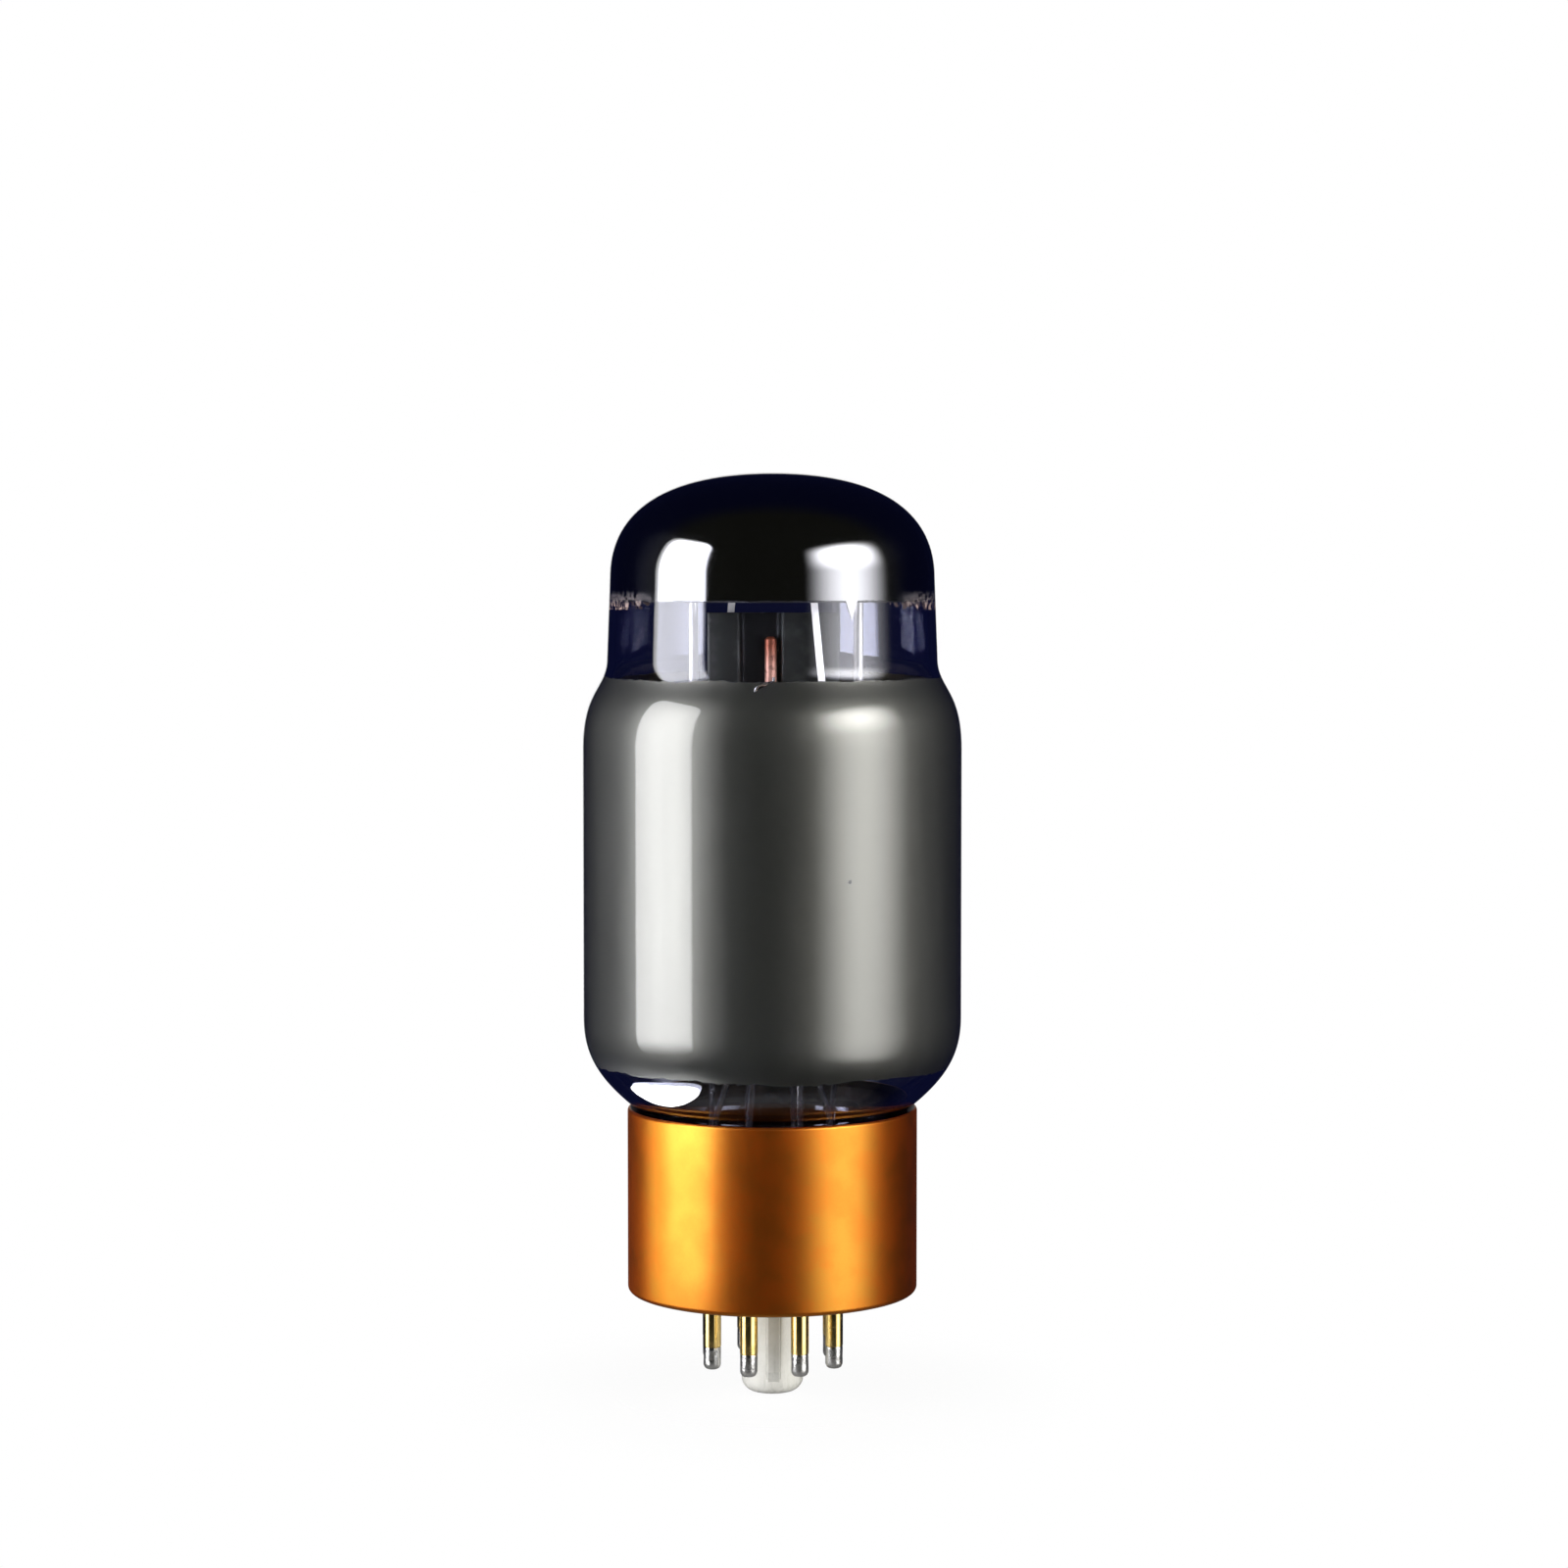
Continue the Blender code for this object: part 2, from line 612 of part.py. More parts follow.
def make_stem(finish):
    """The glass button with a bead round each lead and the drawn-off exhaust tube below it."""
    rim = NECK_RADIUS - GLASS_WALL - FIT
    tube_end = NECK_END - EXHAUST_LENGTH
    bore_end = tube_end + EXHAUST_TIP_LENGTH / 2
    outline = [
        (EXHAUST_BORE_RADIUS, BUTTON_TOP),
        (rim, BUTTON_TOP),
        (rim, NECK_END),
        (EXHAUST_RADIUS, NECK_END),
        (EXHAUST_RADIUS, tube_end + EXHAUST_TIP_LENGTH),
        (EXHAUST_RADIUS / 2, tube_end + EXHAUST_TIP_LENGTH / 4),
        (0.0, tube_end),
        (0.0, bore_end),
        (EXHAUST_BORE_RADIUS / 2, bore_end + EXHAUST_TIP_LENGTH / 4),
        (EXHAUST_BORE_RADIUS, bore_end + EXHAUST_TIP_LENGTH),
    ]
    stem = turned("glass_stem", outline, finish["clear_glass"], STEM_SIDES)
    hole = LEAD_RADIUS + FIT
    root = BUTTON_TOP - BUTTON_THICKNESS / 2
    bead = [
        (0.0, BUTTON_TOP + BUTTON_BEAD_HEIGHT),
        (hole * 2, BUTTON_TOP + BUTTON_BEAD_HEIGHT),
        (BUTTON_BEAD_RADIUS, BUTTON_TOP),
        (BUTTON_BEAD_RADIUS, root),
        (0.0, root),
    ]
    join(stem, bored_at_pins("lead_beads", bead, HOLE_SIDES, finish["clear_glass"]))
    above, below = BUTTON_TOP + 2 * BUTTON_BEAD_HEIGHT, NECK_END - BUTTON_THICKNESS
    drill = [(0, above), (hole, above), (hole, below), (0, below)]
    cut(stem, bored_at_pins("lead_drills", drill, ROD_SIDES, finish["nickel"]))


def beside(centre, towards, distance):
    """The point at a distance from a rod's centre, on the side that faces another point."""
    turn = atan2(towards[1] - centre[1], towards[0] - centre[0])
    return (centre[0] + distance * cos(turn), centre[1] + distance * sin(turn))


def make_leads(finish):
    """The lead wires, from the solder in each pin up to the electrode that each one feeds."""
    contact = LEAD_RADIUS + FIT
    to_rod = contact + GRID_ROD_RADIUS
    heater_y = heater_strand_y()[0]
    targets = {
        2: ((0.0, heater_y), contact + HEATER_WIRE_RADIUS, LOWER_MICA - CATHODE_OVERHANG),
        3: ((POST_X, 0.0), contact + POST_RADIUS, LOWER_MICA - FIT),
        4: ((0.0, SCREEN_ROD_Y), to_rod, LOWER_MICA - FIT),
        5: ((0.0, CONTROL_ROD_Y), to_rod, LOWER_MICA - FIT),
        7: ((0.0, -heater_y), contact + HEATER_WIRE_RADIUS, LOWER_MICA - CATHODE_OVERHANG),
        8: ((0.0, 0.0), contact + CATHODE_DEPTH / 2, LOWER_MICA - FIT),
    }
    tip = TIP_END_THICKNESS + FIT - PIN_LENGTH
    bend = BUTTON_TOP + LEAD_STRAIGHT_ABOVE_BUTTON
    for number, (x, y) in enumerate(pin_places(), 1):
        corners = [(x, y, tip)]
        if number in targets:
            centre, distance, top = targets[number]
            side = (x, centre[1]) if number in (2, 7, 8) else (x, y)
            end = beside(centre, side, distance)
            corners += [(x, y, bend), (*end, top - LEAD_WELD_LENGTH), (*end, top - FIT)]
        else:
            corners.append((x, y, LOWER_MICA_TOP + LEAD_WELD_LENGTH))
        wire(f"lead_wire_{number}", rounded_route(corners), LEAD_RADIUS, finish["nickel"])


def mica_outline(height, film):
    """A serrated disc whose teeth reach the bulb's wall, inside a film of that thickness."""
    reach = wall_radius(height, GLASS_WALL + FILM_GAP + film + MICA_WALL_GAP)
    root = reach - MICA_TOOTH_HEIGHT
    step = 2 * pi / MICA_TOOTH_COUNT
    outline = []
    for i in range(MICA_TOOTH_COUNT):
        for share, radius in ((0.28, root), (0.5, reach), (0.72, root)):
            turn = step * (i + share)
            outline.append((radius * cos(turn), radius * sin(turn)))
    return outline


def oval(half_depth, half_width, sides_per_end=5):
    """A slot-shaped outline with round ends, long along Y."""
    straight = half_width - half_depth
    top = arc((0.0, straight), half_depth, 0, pi, sides_per_end)
    low = arc((0.0, -straight), half_depth, pi, 2 * pi, sides_per_end)
    return top + low


def make_micas(finish):
    """The three mica spacers, cut for the rods, the cathode and the leads that pass them."""
    sleeve = oval(CATHODE_DEPTH / 2 + FIT, CATHODE_WIDTH / 2 + FIT)
    posts = [circle((side * POST_X, 0.0), POST_RADIUS + FIT) for side in (-1, 1)]
    rods = [
        circle((0.0, side * y), GRID_ROD_RADIUS + FIT)
        for side in (-1, 1)
        for y in (CONTROL_ROD_Y, SCREEN_ROD_Y)
    ]
    supports = [circle(pin_places()[i], LEAD_RADIUS + FIT) for i in (0, 5)]
    stalks = [stalk_slot(side) for side in (-1, 1)]
    lower = mica_outline(LOWER_MICA, COATING_THICKNESS)
    upper = mica_outline(UPPER_MICA_TOP, COATING_THICKNESS)
    top = mica_outline(TOP_MICA_TOP, FLASH_THICKNESS)
    mica = finish["mica"]
    plate("mica_lower", [lower, sleeve, *posts, *rods, *supports], LOWER_MICA, LOWER_MICA_TOP, mica)
    plate("mica_upper", [upper, sleeve, *posts, *rods], UPPER_MICA, UPPER_MICA_TOP, mica)
    plate("mica_top", [top, *posts, *stalks], TOP_MICA, TOP_MICA_TOP, mica)


def make_cathode(finish):
    """The oval cathode sleeve and the heater folded up inside it."""
    low, high = LOWER_MICA - CATHODE_OVERHANG, UPPER_MICA_TOP + CATHODE_OVERHANG
    outer = oval(CATHODE_DEPTH / 2, CATHODE_WIDTH / 2)
    inner = oval(CATHODE_DEPTH / 2 - CATHODE_WALL, CATHODE_WIDTH / 2 - CATHODE_WALL)
    plate("cathode_sleeve", [outer, inner], low, high, finish["cathode_oxide"])

    turn_top = high - CATHODE_DEPTH
    turn_low = low + CATHODE_DEPTH
    leg_end = low - HEATER_LEG_LENGTH
    strands = heater_strand_y()
    route = [(0.0, strands[0], leg_end)]
    for i, y in enumerate(strands):
        ends = (turn_low, turn_top) if i % 2 == 0 else (turn_top, turn_low)
        first = leg_end if i == 0 else ends[0]
        last = leg_end if i == len(strands) - 1 else ends[1]
        route += [(0.0, y, first), (0.0, y, last)] if i else [(0.0, y, last)]
    wire("heater", route, HEATER_WIRE_RADIUS, finish["cathode_oxide"])


def heater_strand_y():
    """Where the heater's strands stand across the inside of the cathode."""
    span = CATHODE_WIDTH - 2 * CATHODE_WALL - CATHODE_DEPTH
    return [-span / 2 + span * i / (HEATER_STRANDS - 1) for i in range(HEATER_STRANDS)]


def grid_winding(name, rod_y, half_depth, finish):
    """One wire wound in a flattened helix round a grid's two side rods."""
    reach = rod_y + GRID_ROD_RADIUS + GRID_WIRE_RADIUS + 2 * FIT
    flat = reach - GRID_BEND_LENGTH
    low, high = LOWER_MICA_TOP + GRID_END_MARGIN, UPPER_MICA - GRID_END_MARGIN
    quarter = [(GRID_ROD_RADIUS, reach), (half_depth, flat)]
    half_turn = quarter + [(x, -y) for x, y in reversed(quarter)]
    turn = half_turn + [(-x, -y) for x, y in half_turn]
    count = GRID_TURNS * len(turn)
    rise = (high - low) / count
    route = [(*turn[i % len(turn)], low + rise * i) for i in range(count + 1)]
    wire(name, route, GRID_WIRE_RADIUS, finish, resolution=0)


def make_grids(finish):
    """The control and screen grids, wound to one pitch so that their turns line up."""
    tail = LOWER_MICA - ROD_TAIL_LENGTH
    control_top = UPPER_MICA_TOP + CONTROL_ROD_HEIGHT_ABOVE_MICA
    screen_top = UPPER_MICA_TOP + SCREEN_ROD_HEIGHT_ABOVE_MICA
    for where, side in (("front", -1), ("rear", 1)):
        place = (0.0, side * CONTROL_ROD_Y)
        rod(f"control_grid_rod_{where}", place, tail, control_top, GRID_ROD_RADIUS, finish["copper"])
        place = (0.0, side * SCREEN_ROD_Y)
        rod(f"screen_grid_rod_{where}", place, tail, screen_top, GRID_ROD_RADIUS, finish["nickel"])
    grid_winding("control_grid_winding", CONTROL_ROD_Y, CONTROL_HALF_DEPTH, finish["nickel"])
    grid_winding("screen_grid_winding", SCREEN_ROD_Y, SCREEN_HALF_DEPTH, finish["nickel"])


def make_beam_plates(finish):
    """The two folded plates that shade the grid rods and shape the beams."""
    low, high = LOWER_MICA_TOP + FIT, UPPER_MICA - FIT
    flank = BEAM_PLATE_Y - BEAM_PLATE_FLANK
    for where, side in (("front", -1), ("rear", 1)):
        path = [
            (-BEAM_PLATE_X, side * flank),
            (-BEAM_PLATE_X, side * BEAM_PLATE_Y),
            (BEAM_PLATE_X, side * BEAM_PLATE_Y),
            (BEAM_PLATE_X, side * flank),
        ]
        section = sheet_section(path[:: side], BEAM_PLATE_THICKNESS)
        plate(f"beam_plate_{where}", [section], low, high, finish["nickel"])


def anode_path(side):
    """The fold line of one anode half, from its left flange round to its right one."""
    seam = side * FIT
    grip = POST_RADIUS + FIT
    corner = ANODE_CORNER_CUT
    rib, half_rib = ANODE_RIB_DEPTH, ANODE_RIB_WIDTH / 2
    left = [(-FLANGE_X, seam)]
    left += [(x, side * y) for x, y in arc((-POST_X, 0.0), grip, pi - 0.2, 0.2, 6)]
    left += [
        (-ANODE_X, seam),
        (-ANODE_X, side * (ANODE_Y - corner)),
        (-ANODE_X + corner, side * ANODE_Y),
        (-half_rib - rib, side * ANODE_Y),
        (-half_rib, side * (ANODE_Y - rib)),
    ]
    right = [(-x, y) for x, y in reversed(left)]
    return left + right


def make_anode(finish):
    """The anode's two folded halves, and the posts that its flanges grip."""
    low, high = LOWER_MICA_TOP + ANODE_MICA_GAP, UPPER_MICA - ANODE_MICA_GAP
    for where, side in (("front", -1), ("rear", 1)):
        path = anode_path(side)
        section = sheet_section(path if side > 0 else path[::-1], ANODE_THICKNESS)
        plate(f"anode_{where}", [section], low, high, finish["carbonised"])
    post_low = LOWER_MICA - POST_TAIL_LENGTH
    post_high = TOP_MICA_TOP + POST_RISE_ABOVE_TOP_MICA
    for where, side in (("left", -1), ("right", 1)):
        place = (side * POST_X, 0.0)
        rod(f"anode_post_{where}", place, post_low, post_high, POST_RADIUS, finish["nickel"], HOLE_SIDES)


def make_radiators(finish):
    """The blackened plates that cool the control grid's rods, with their side edges folded back."""
    low = UPPER_MICA_TOP + RADIATOR_MICA_GAP
    floor = CONTROL_ROD_Y - GRID_ROD_RADIUS - FIT
    face = floor + RADIATOR_CHANNEL_DEPTH
    half = RADIATOR_WIDTH / 2
    left = -RADIATOR_CHANNEL_OFFSET - RADIATOR_CHANNEL_WIDTH / 2
    right = left + RADIATOR_CHANNEL_WIDTH
    half_section = [(-half, face - RADIATOR_FOLD), (-half, face), (left, face)]
    channel = [(left + RADIATOR_CHANNEL_SLOPE, floor), (right - RADIATOR_CHANNEL_SLOPE, floor)]
    far_section = [(right, face), (half, face), (half, face - RADIATOR_FOLD)]
    path = half_section + channel + far_section
    for where, side in (("front", -1), ("rear", 1)):
        turned_path = [(-side * x, side * y) for x, y in path]
        section = sheet_section(turned_path, RADIATOR_THICKNESS)
        plate(f"grid_radiator_{where}", [section], low, low + RADIATOR_HEIGHT, finish["carbonised"])


def stalk_y():
    """How far the getter stalks stand in front of and behind the axis."""
    face = CONTROL_ROD_Y - GRID_ROD_RADIUS + RADIATOR_CHANNEL_DEPTH
    return face + 2 * STALK_THICKNESS + FIT


def stalk_slot(side):
    """The slot in the top mica that a getter's stalk passes through."""
    x = side * stalk_x(TOP_MICA_TOP)
    half_x = STALK_WIDTH / 2 + 2 * FIT
    half_y = STALK_THICKNESS / 2 + FIT
    y = -side * stalk_y()
    corners = ((-1, -1), (1, -1), (1, 1), (-1, 1))
    return [(x + a * half_x, y + b * half_y) for a, b in corners]


def stalk_x(height):
    """How far from the middle plane a getter's slanting stalk stands at a height."""
    low, high = UPPER_MICA_TOP, TOP_MICA_TOP + GETTER_HEIGHT_ABOVE_MICA
    return STALK_FOOT_X + (STALK_TOP_X - STALK_FOOT_X) * (height - low) / (high - low)


def make_getters(finish):
    """The two ring getters, each on a slanting stalk that rises from the upper mica."""
    foot = UPPER_MICA_TOP + FIT
    ring_height = TOP_MICA_TOP + GETTER_HEIGHT_ABOVE_MICA
    top = ring_height - GETTER_SECTION_RADIUS - FIT
    for where, side in (("front", 1), ("rear", -1)):
        y = -side * stalk_y()
        shape = bmesh.new()
        rings = []
        for height in (foot, top):
            x = side * stalk_x(height)
            corners = ((-1, -1), (1, -1), (1, 1), (-1, 1))
            rings.append([
                shape.verts.new((x + a * STALK_WIDTH / 2, y + b * STALK_THICKNESS / 2, height))
                for a, b in corners
            ])
        low_ring, high_ring = rings
        shape.faces.new(low_ring)
        shape.faces.new(high_ring)
        for i in range(4):
            shape.faces.new((low_ring[i - 1], low_ring[i], high_ring[i], high_ring[i - 1]))
        bmesh.ops.recalc_face_normals(shape, faces=shape.faces[:])
        from_bmesh(f"getter_stalk_{where}", shape, finish["nickel"])

        section = [
            (GETTER_RING_RADIUS + GETTER_SECTION_RADIUS * cos(t), GETTER_SECTION_RADIUS * sin(t))
            for t in (2 * pi * i / RING_SECTION_SIDES for i in range(RING_SECTION_SIDES))
        ]
        ring = turned(f"getter_ring_{where}", section, finish["nickel"], TURNED_SIDES // 2)
        centre_x = side * (stalk_x(top) - GETTER_RING_RADIUS)
        ring.location = (centre_x, y, ring_height)


def make_jumper(finish):
    """The thin wire that runs off the front control grid rod just above the film's edge."""
    contact = GRID_ROD_RADIUS + JUMPER_RADIUS + FIT
    y = -CONTROL_ROD_Y - contact
    height = UPPER_MICA_TOP + JUMPER_RISE
    corners = [
        (0.0, y, height + JUMPER_RISE / 4),
        (0.0, y, height),
        (-JUMPER_REACH, y, height - JUMPER_RISE / 8),
        (-JUMPER_REACH - JUMPER_RISE / 4, y, UPPER_MICA_TOP + JUMPER_RADIUS + FIT),
    ]
    wire("grid_jumper", rounded_route(corners), JUMPER_RADIUS, finish["nickel"])


def main():
    """Builds the whole tube."""
    clear_scene()
    finish = make_materials()
    make_base(finish)
    make_pins(finish)
    make_bulb(finish)
    make_stem(finish)
    make_leads(finish)
    make_micas(finish)
    make_cathode(finish)
    make_grids(finish)
    make_beam_plates(finish)
    make_anode(finish)
    make_radiators(finish)
    make_getters(finish)
    make_jumper(finish)


main()
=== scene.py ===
"""Looks for a beam power vacuum tube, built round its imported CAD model.

The row frame is in metres, with the tube's axis along Z, the base's bottom face
at z = 0 and the guide key's rib towards -Y, where the camera stands.
"""

import json
import logging
from dataclasses import dataclass
from enum import Enum
from math import cos, hypot, pi, radians, sin
from typing import Iterable, Sequence

import bmesh
import bpy
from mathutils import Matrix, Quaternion, Vector, noise

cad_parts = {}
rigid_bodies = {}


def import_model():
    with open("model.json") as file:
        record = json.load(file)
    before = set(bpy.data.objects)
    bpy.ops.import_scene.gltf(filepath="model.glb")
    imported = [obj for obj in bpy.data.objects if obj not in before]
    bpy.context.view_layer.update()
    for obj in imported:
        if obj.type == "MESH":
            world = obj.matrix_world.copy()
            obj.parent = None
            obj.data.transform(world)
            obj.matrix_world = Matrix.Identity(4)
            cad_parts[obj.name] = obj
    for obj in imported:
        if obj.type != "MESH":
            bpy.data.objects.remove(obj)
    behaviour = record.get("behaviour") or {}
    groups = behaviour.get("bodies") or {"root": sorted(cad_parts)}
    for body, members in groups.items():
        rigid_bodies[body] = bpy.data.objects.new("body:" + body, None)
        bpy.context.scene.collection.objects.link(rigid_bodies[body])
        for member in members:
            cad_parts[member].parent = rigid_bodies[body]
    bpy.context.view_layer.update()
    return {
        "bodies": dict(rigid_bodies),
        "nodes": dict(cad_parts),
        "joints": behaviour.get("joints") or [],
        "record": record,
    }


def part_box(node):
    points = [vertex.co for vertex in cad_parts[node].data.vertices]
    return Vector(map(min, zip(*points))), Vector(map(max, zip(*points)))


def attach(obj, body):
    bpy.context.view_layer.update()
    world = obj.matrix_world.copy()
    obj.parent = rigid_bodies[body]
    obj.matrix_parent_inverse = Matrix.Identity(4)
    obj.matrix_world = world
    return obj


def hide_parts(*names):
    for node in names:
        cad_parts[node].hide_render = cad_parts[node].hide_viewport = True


LOG = logging.getLogger("vacuum_tube")
Point2 = tuple[float, float]
Point3 = tuple[float, float, float]
Colour = tuple[float, float, float]
Solid = bmesh.types.BMesh
MM = 0.001
BODY = "root"


# Shader expressions


class Term:
    """A shader socket that takes part in sums, so that its nodes are written as maths."""

    def __init__(self, graph: "Graph", socket: bpy.types.NodeSocket) -> None:
        """Holds one output socket.

        Args:
            graph: The material's graph, which makes the nodes of each sum.
            socket: The output socket that carries the value.
        """
        self.graph = graph
        self.socket = socket

    def math(self, operation: str, *others: "Term | float") -> "Term":
        """Applies one Math operation, with this value first.

        Args:
            operation: The Math node's operation.
            others: The operation's further values.

        Returns:
            The result.
        """
        inputs = dict(enumerate((self, *others)))
        return self.graph.node("ShaderNodeMath", {"operation": operation}, inputs)

    def __add__(self, other: "Term | float") -> "Term":
        """This value plus another."""
        return self.math("ADD", other)

    def __sub__(self, other: "Term | float") -> "Term":
        """This value less another."""
        return self.math("SUBTRACT", other)

    def __rsub__(self, other: float) -> "Term":
        """A number less this value."""
        inputs = {0: other, 1: self}
        return self.graph.node("ShaderNodeMath", {"operation": "SUBTRACT"}, inputs)

    def __mul__(self, other: "Term | float") -> "Term":
        """This value times another."""
        return self.math("MULTIPLY", other)

    def __truediv__(self, other: "Term | float") -> "Term":
        """This value divided by another."""
        return self.math("DIVIDE", other)

    def clamp(self) -> "Term":
        """This value held between 0 and 1."""
        return self.graph.node("ShaderNodeClamp", {}, {0: self, 1: 0.0, 2: 1.0})

    def ease(self, low: float, high: float) -> "Term":
        """A smooth step from 0 at the low value to 1 at the high one.

        Args:
            low: The value that gives 0.
            high: The value that gives 1.

        Returns:
            The eased value.
        """
        settings = {"interpolation_type": "SMOOTHSTEP"}
        return self.graph.node("ShaderNodeMapRange", settings, {0: self, 1: low, 2: high})


class Graph:
    """The node tree of one material, world or lamp."""

    def __init__(self, tree: bpy.types.NodeTree, output: str) -> None:
        """Empties the tree and gives it its output node.

        Args:
            tree: The node tree to fill.
            output: The output node's type.
        """
        self.tree = tree
        tree.nodes.clear()
        self.output = tree.nodes.new(output)

    def node(
        self,
        kind: str,
        settings: dict | None = None,
        inputs: dict | None = None,
        take: int | str = 0,
    ) -> Term:
        """Makes one node.

        Args:
            kind: The node's type.
            settings: Its own settings.
            inputs: What its sockets hold, by index or name: a Term links, all else is a value.
            take: The output that the result carries, by index or name.

        Returns:
            That output.
        """
        made = self.tree.nodes.new(kind)
        for name, value in (settings or {}).items():
            setattr(made, name, value)
        for key, value in (inputs or {}).items():
            if isinstance(value, Term):
                self.tree.links.new(value.socket, made.inputs[key])
            else:
                made.inputs[key].default_value = value
        return Term(self, made.outputs[take])

    def finish(self, surface: Term, volume: Term | None = None) -> None:
        """Links the surface, and the volume where there is one, to the output node."""
        self.tree.links.new(surface.socket, self.output.inputs[0])
        if volume is not None:
            self.tree.links.new(volume.socket, self.output.inputs[1])

    def vector(self, operation: str, *values: "Term | Point3", take: str = "Vector") -> Term:
        """Makes one Vector Math node.

        Args:
            operation: Its operation.
            values: Its inputs in order.
            take: Its output, which is Value where the result is a number.

        Returns:
            The result.
        """
        inputs = dict(enumerate(values))
        return self.node("ShaderNodeVectorMath", {"operation": operation}, inputs, take)

    def place(self) -> Term:
        """The point on the object, in metres."""
        return self.node("ShaderNodeTexCoord", take="Object")

    def axis(self, name: str) -> Term:
        """One coordinate of the point on the object.

        Args:
            name: X, Y or Z.

        Returns:
            The coordinate, in metres.
        """
        return self.part(self.place(), name)

    def part(self, vector: Term, name: str) -> Term:
        """One coordinate of a vector."""
        return self.node("ShaderNodeSeparateXYZ", inputs={0: vector}, take=name)

    def ray(self, fact: str) -> Term:
        """One fact about the ray that sees the surface, by its name on the Light Path node."""
        return self.node("ShaderNodeLightPath", take=fact)

    def mixed(self, share: Term | float, first: Term, second: Term) -> Term:
        """Mixes two shaders, where the share is how much of the second one shows."""
        return self.node("ShaderNodeMixShader", inputs={0: share, 1: first, 2: second})

    def lets_lamps_through(self, glass: Term, tint: Colour) -> Term:
        """Makes glass that the lamps' own rays pass, so that they light what is behind it.

        Args:
            glass: The glass as every other ray meets it.
            tint: How much of each colour the lamps' rays keep.

        Returns:
            The shader.
        """
        clear = self.node("ShaderNodeBsdfTransparent", inputs={0: (*tint, 1.0)})
        return self.mixed(self.ray("Is Shadow Ray"), glass, clear)

    def stretched(self, scale: Point3) -> Term:
        """The point on the object, scaled along each axis."""
        return self.node("ShaderNodeMapping", inputs={"Vector": self.place(), "Scale": scale})

    def grain(self, size: float, detail: float = 3.0, stretch: Point3 = (1, 1, 1)) -> Term:
        """Noise of a given grain.

        Args:
            size: The grain's size in metres.
            detail: How many finer layers it holds.
            stretch: The scale along each axis, above 1 for a finer grain.

        Returns:
            The noise, about 0.5 on average.
        """
        inputs = {"Vector": self.stretched(stretch), "Scale": 1 / size, "Detail": detail}
        return self.node("ShaderNodeTexNoise", inputs=inputs)

    def blend(self, share: Term | float, first: "Term | Colour", second: "Term | Colour") -> Term:
        """Mixes two colours.

        Args:
            share: How much of the second colour shows.
            first: The colour at share 0.
            second: The colour at share 1.

        Returns:
            The mixed colour.
        """
        ends = [(*c, 1.0) if isinstance(c, tuple) else c for c in (first, second)]
        inputs = {0: share, 6: ends[0], 7: ends[1]}
        return self.node("ShaderNodeMix", {"data_type": "RGBA"}, inputs, take=2)

    def bump(self, height: Term, depth: float, strength: float = 1.0) -> Term:
        """A bumped normal.

        Args:
            height: The height map, from 0 to 1.
            depth: What a height of 1 stands for, in metres.
            strength: How strongly the bump shows.

        Returns:
            The normal.
        """
        inputs = {"Height": height, "Distance": depth, "Strength": strength}
        return self.node("ShaderNodeBump", inputs=inputs)

    def principled(self, **inputs: "Term | float | Colour") -> Term:
        """A Principled shader whose sockets are named with underscores for spaces."""
        named = {}
        for key, value in inputs.items():
            colour = isinstance(value, tuple) and len(value) == 3
            named[key.replace("_", " ")] = (*value, 1.0) if colour else value
        return self.node("ShaderNodeBsdfPrincipled", inputs=named)


# Finishes


@dataclass(frozen=True)
class Finish:
    """One finish of the tube. Each kind of finish writes its own shader."""

    name: str

    def shade(self, graph: Graph) -> None:
        """Writes the finish's nodes."""
        raise NotImplementedError

    def material(self) -> bpy.types.Material:
        """The finish as a material, made once.

        Returns:
            The material that carries the finish's name, apart from the CAD model's own.
        """
        name = f"{self.name}_finish"
        found = bpy.data.materials.get(name)
        if found is None:
            found = bpy.data.materials.new(name)
            found.use_nodes = True
            self.shade(Graph(found.node_tree, "ShaderNodeOutputMaterial"))
        return found


@dataclass(frozen=True)
class SatinAnodised(Finish):
    """Bead-blasted aluminium with a dyed anodised layer."""

    skin: Colour = (0.36, 0.345, 0.048)
    dye: Colour = (0.66, 0.055, 0.0006)
    worn_dye: Colour = (0.56, 0.042, 0.0004)
    # Painted shade: near black for the inside of the sleeve's bore, within the radius below.
    painted_bore_shade: Colour = (0.020, 0.009, 0.006)
    bore_shade_radius: float = 18.85 * MM
    grain_size: float = 0.12 * MM
    cloud_size: float = 4.0 * MM
    grain_depth: float = 0.012 * MM

    def shade(self, graph: Graph) -> None:
        """Clouds the dye, roughens the face with a blasted grain and paints shade into the bore."""
        cloud = graph.grain(self.cloud_size, 4.0).ease(0.35, 0.65)
        speckle = graph.grain(self.grain_size, 2.0)
        share = (cloud * 0.45 + speckle.ease(0.42, 0.60) * 0.35 + 0.1).clamp()
        blasted = graph.bump(speckle, self.grain_depth, 0.7)
        # Painted shade: inside the bore's radius both lobes take the near black colour instead of
        # the dye.
        flat = graph.vector("MULTIPLY", graph.place(), (1.0, 1.0, 0.0))
        outside = graph.vector("LENGTH", flat, take="Value").math("GREATER_THAN", self.bore_shade_radius)
        dyed = graph.blend(share, self.worn_dye, self.dye)
        skinned = graph.blend(share * 0.3, self.skin, self.dye)
        deep = graph.principled(
            Base_Color=graph.blend(outside, self.painted_bore_shade, dyed),
            Metallic=1.0,
            Roughness=speckle * 0.08 + cloud * 0.03 + 0.385,
            Normal=blasted,
        )
        top = graph.principled(
            Base_Color=graph.blend(outside, self.painted_bore_shade, skinned),
            Metallic=1.0,
            Roughness=speckle * 0.06 + cloud * 0.02 + 0.285,
            Coat_Weight=outside * 0.06,
            Coat_Roughness=0.25,
            Normal=blasted,
        )
        graph.finish(graph.mixed(0.5, deep, top))


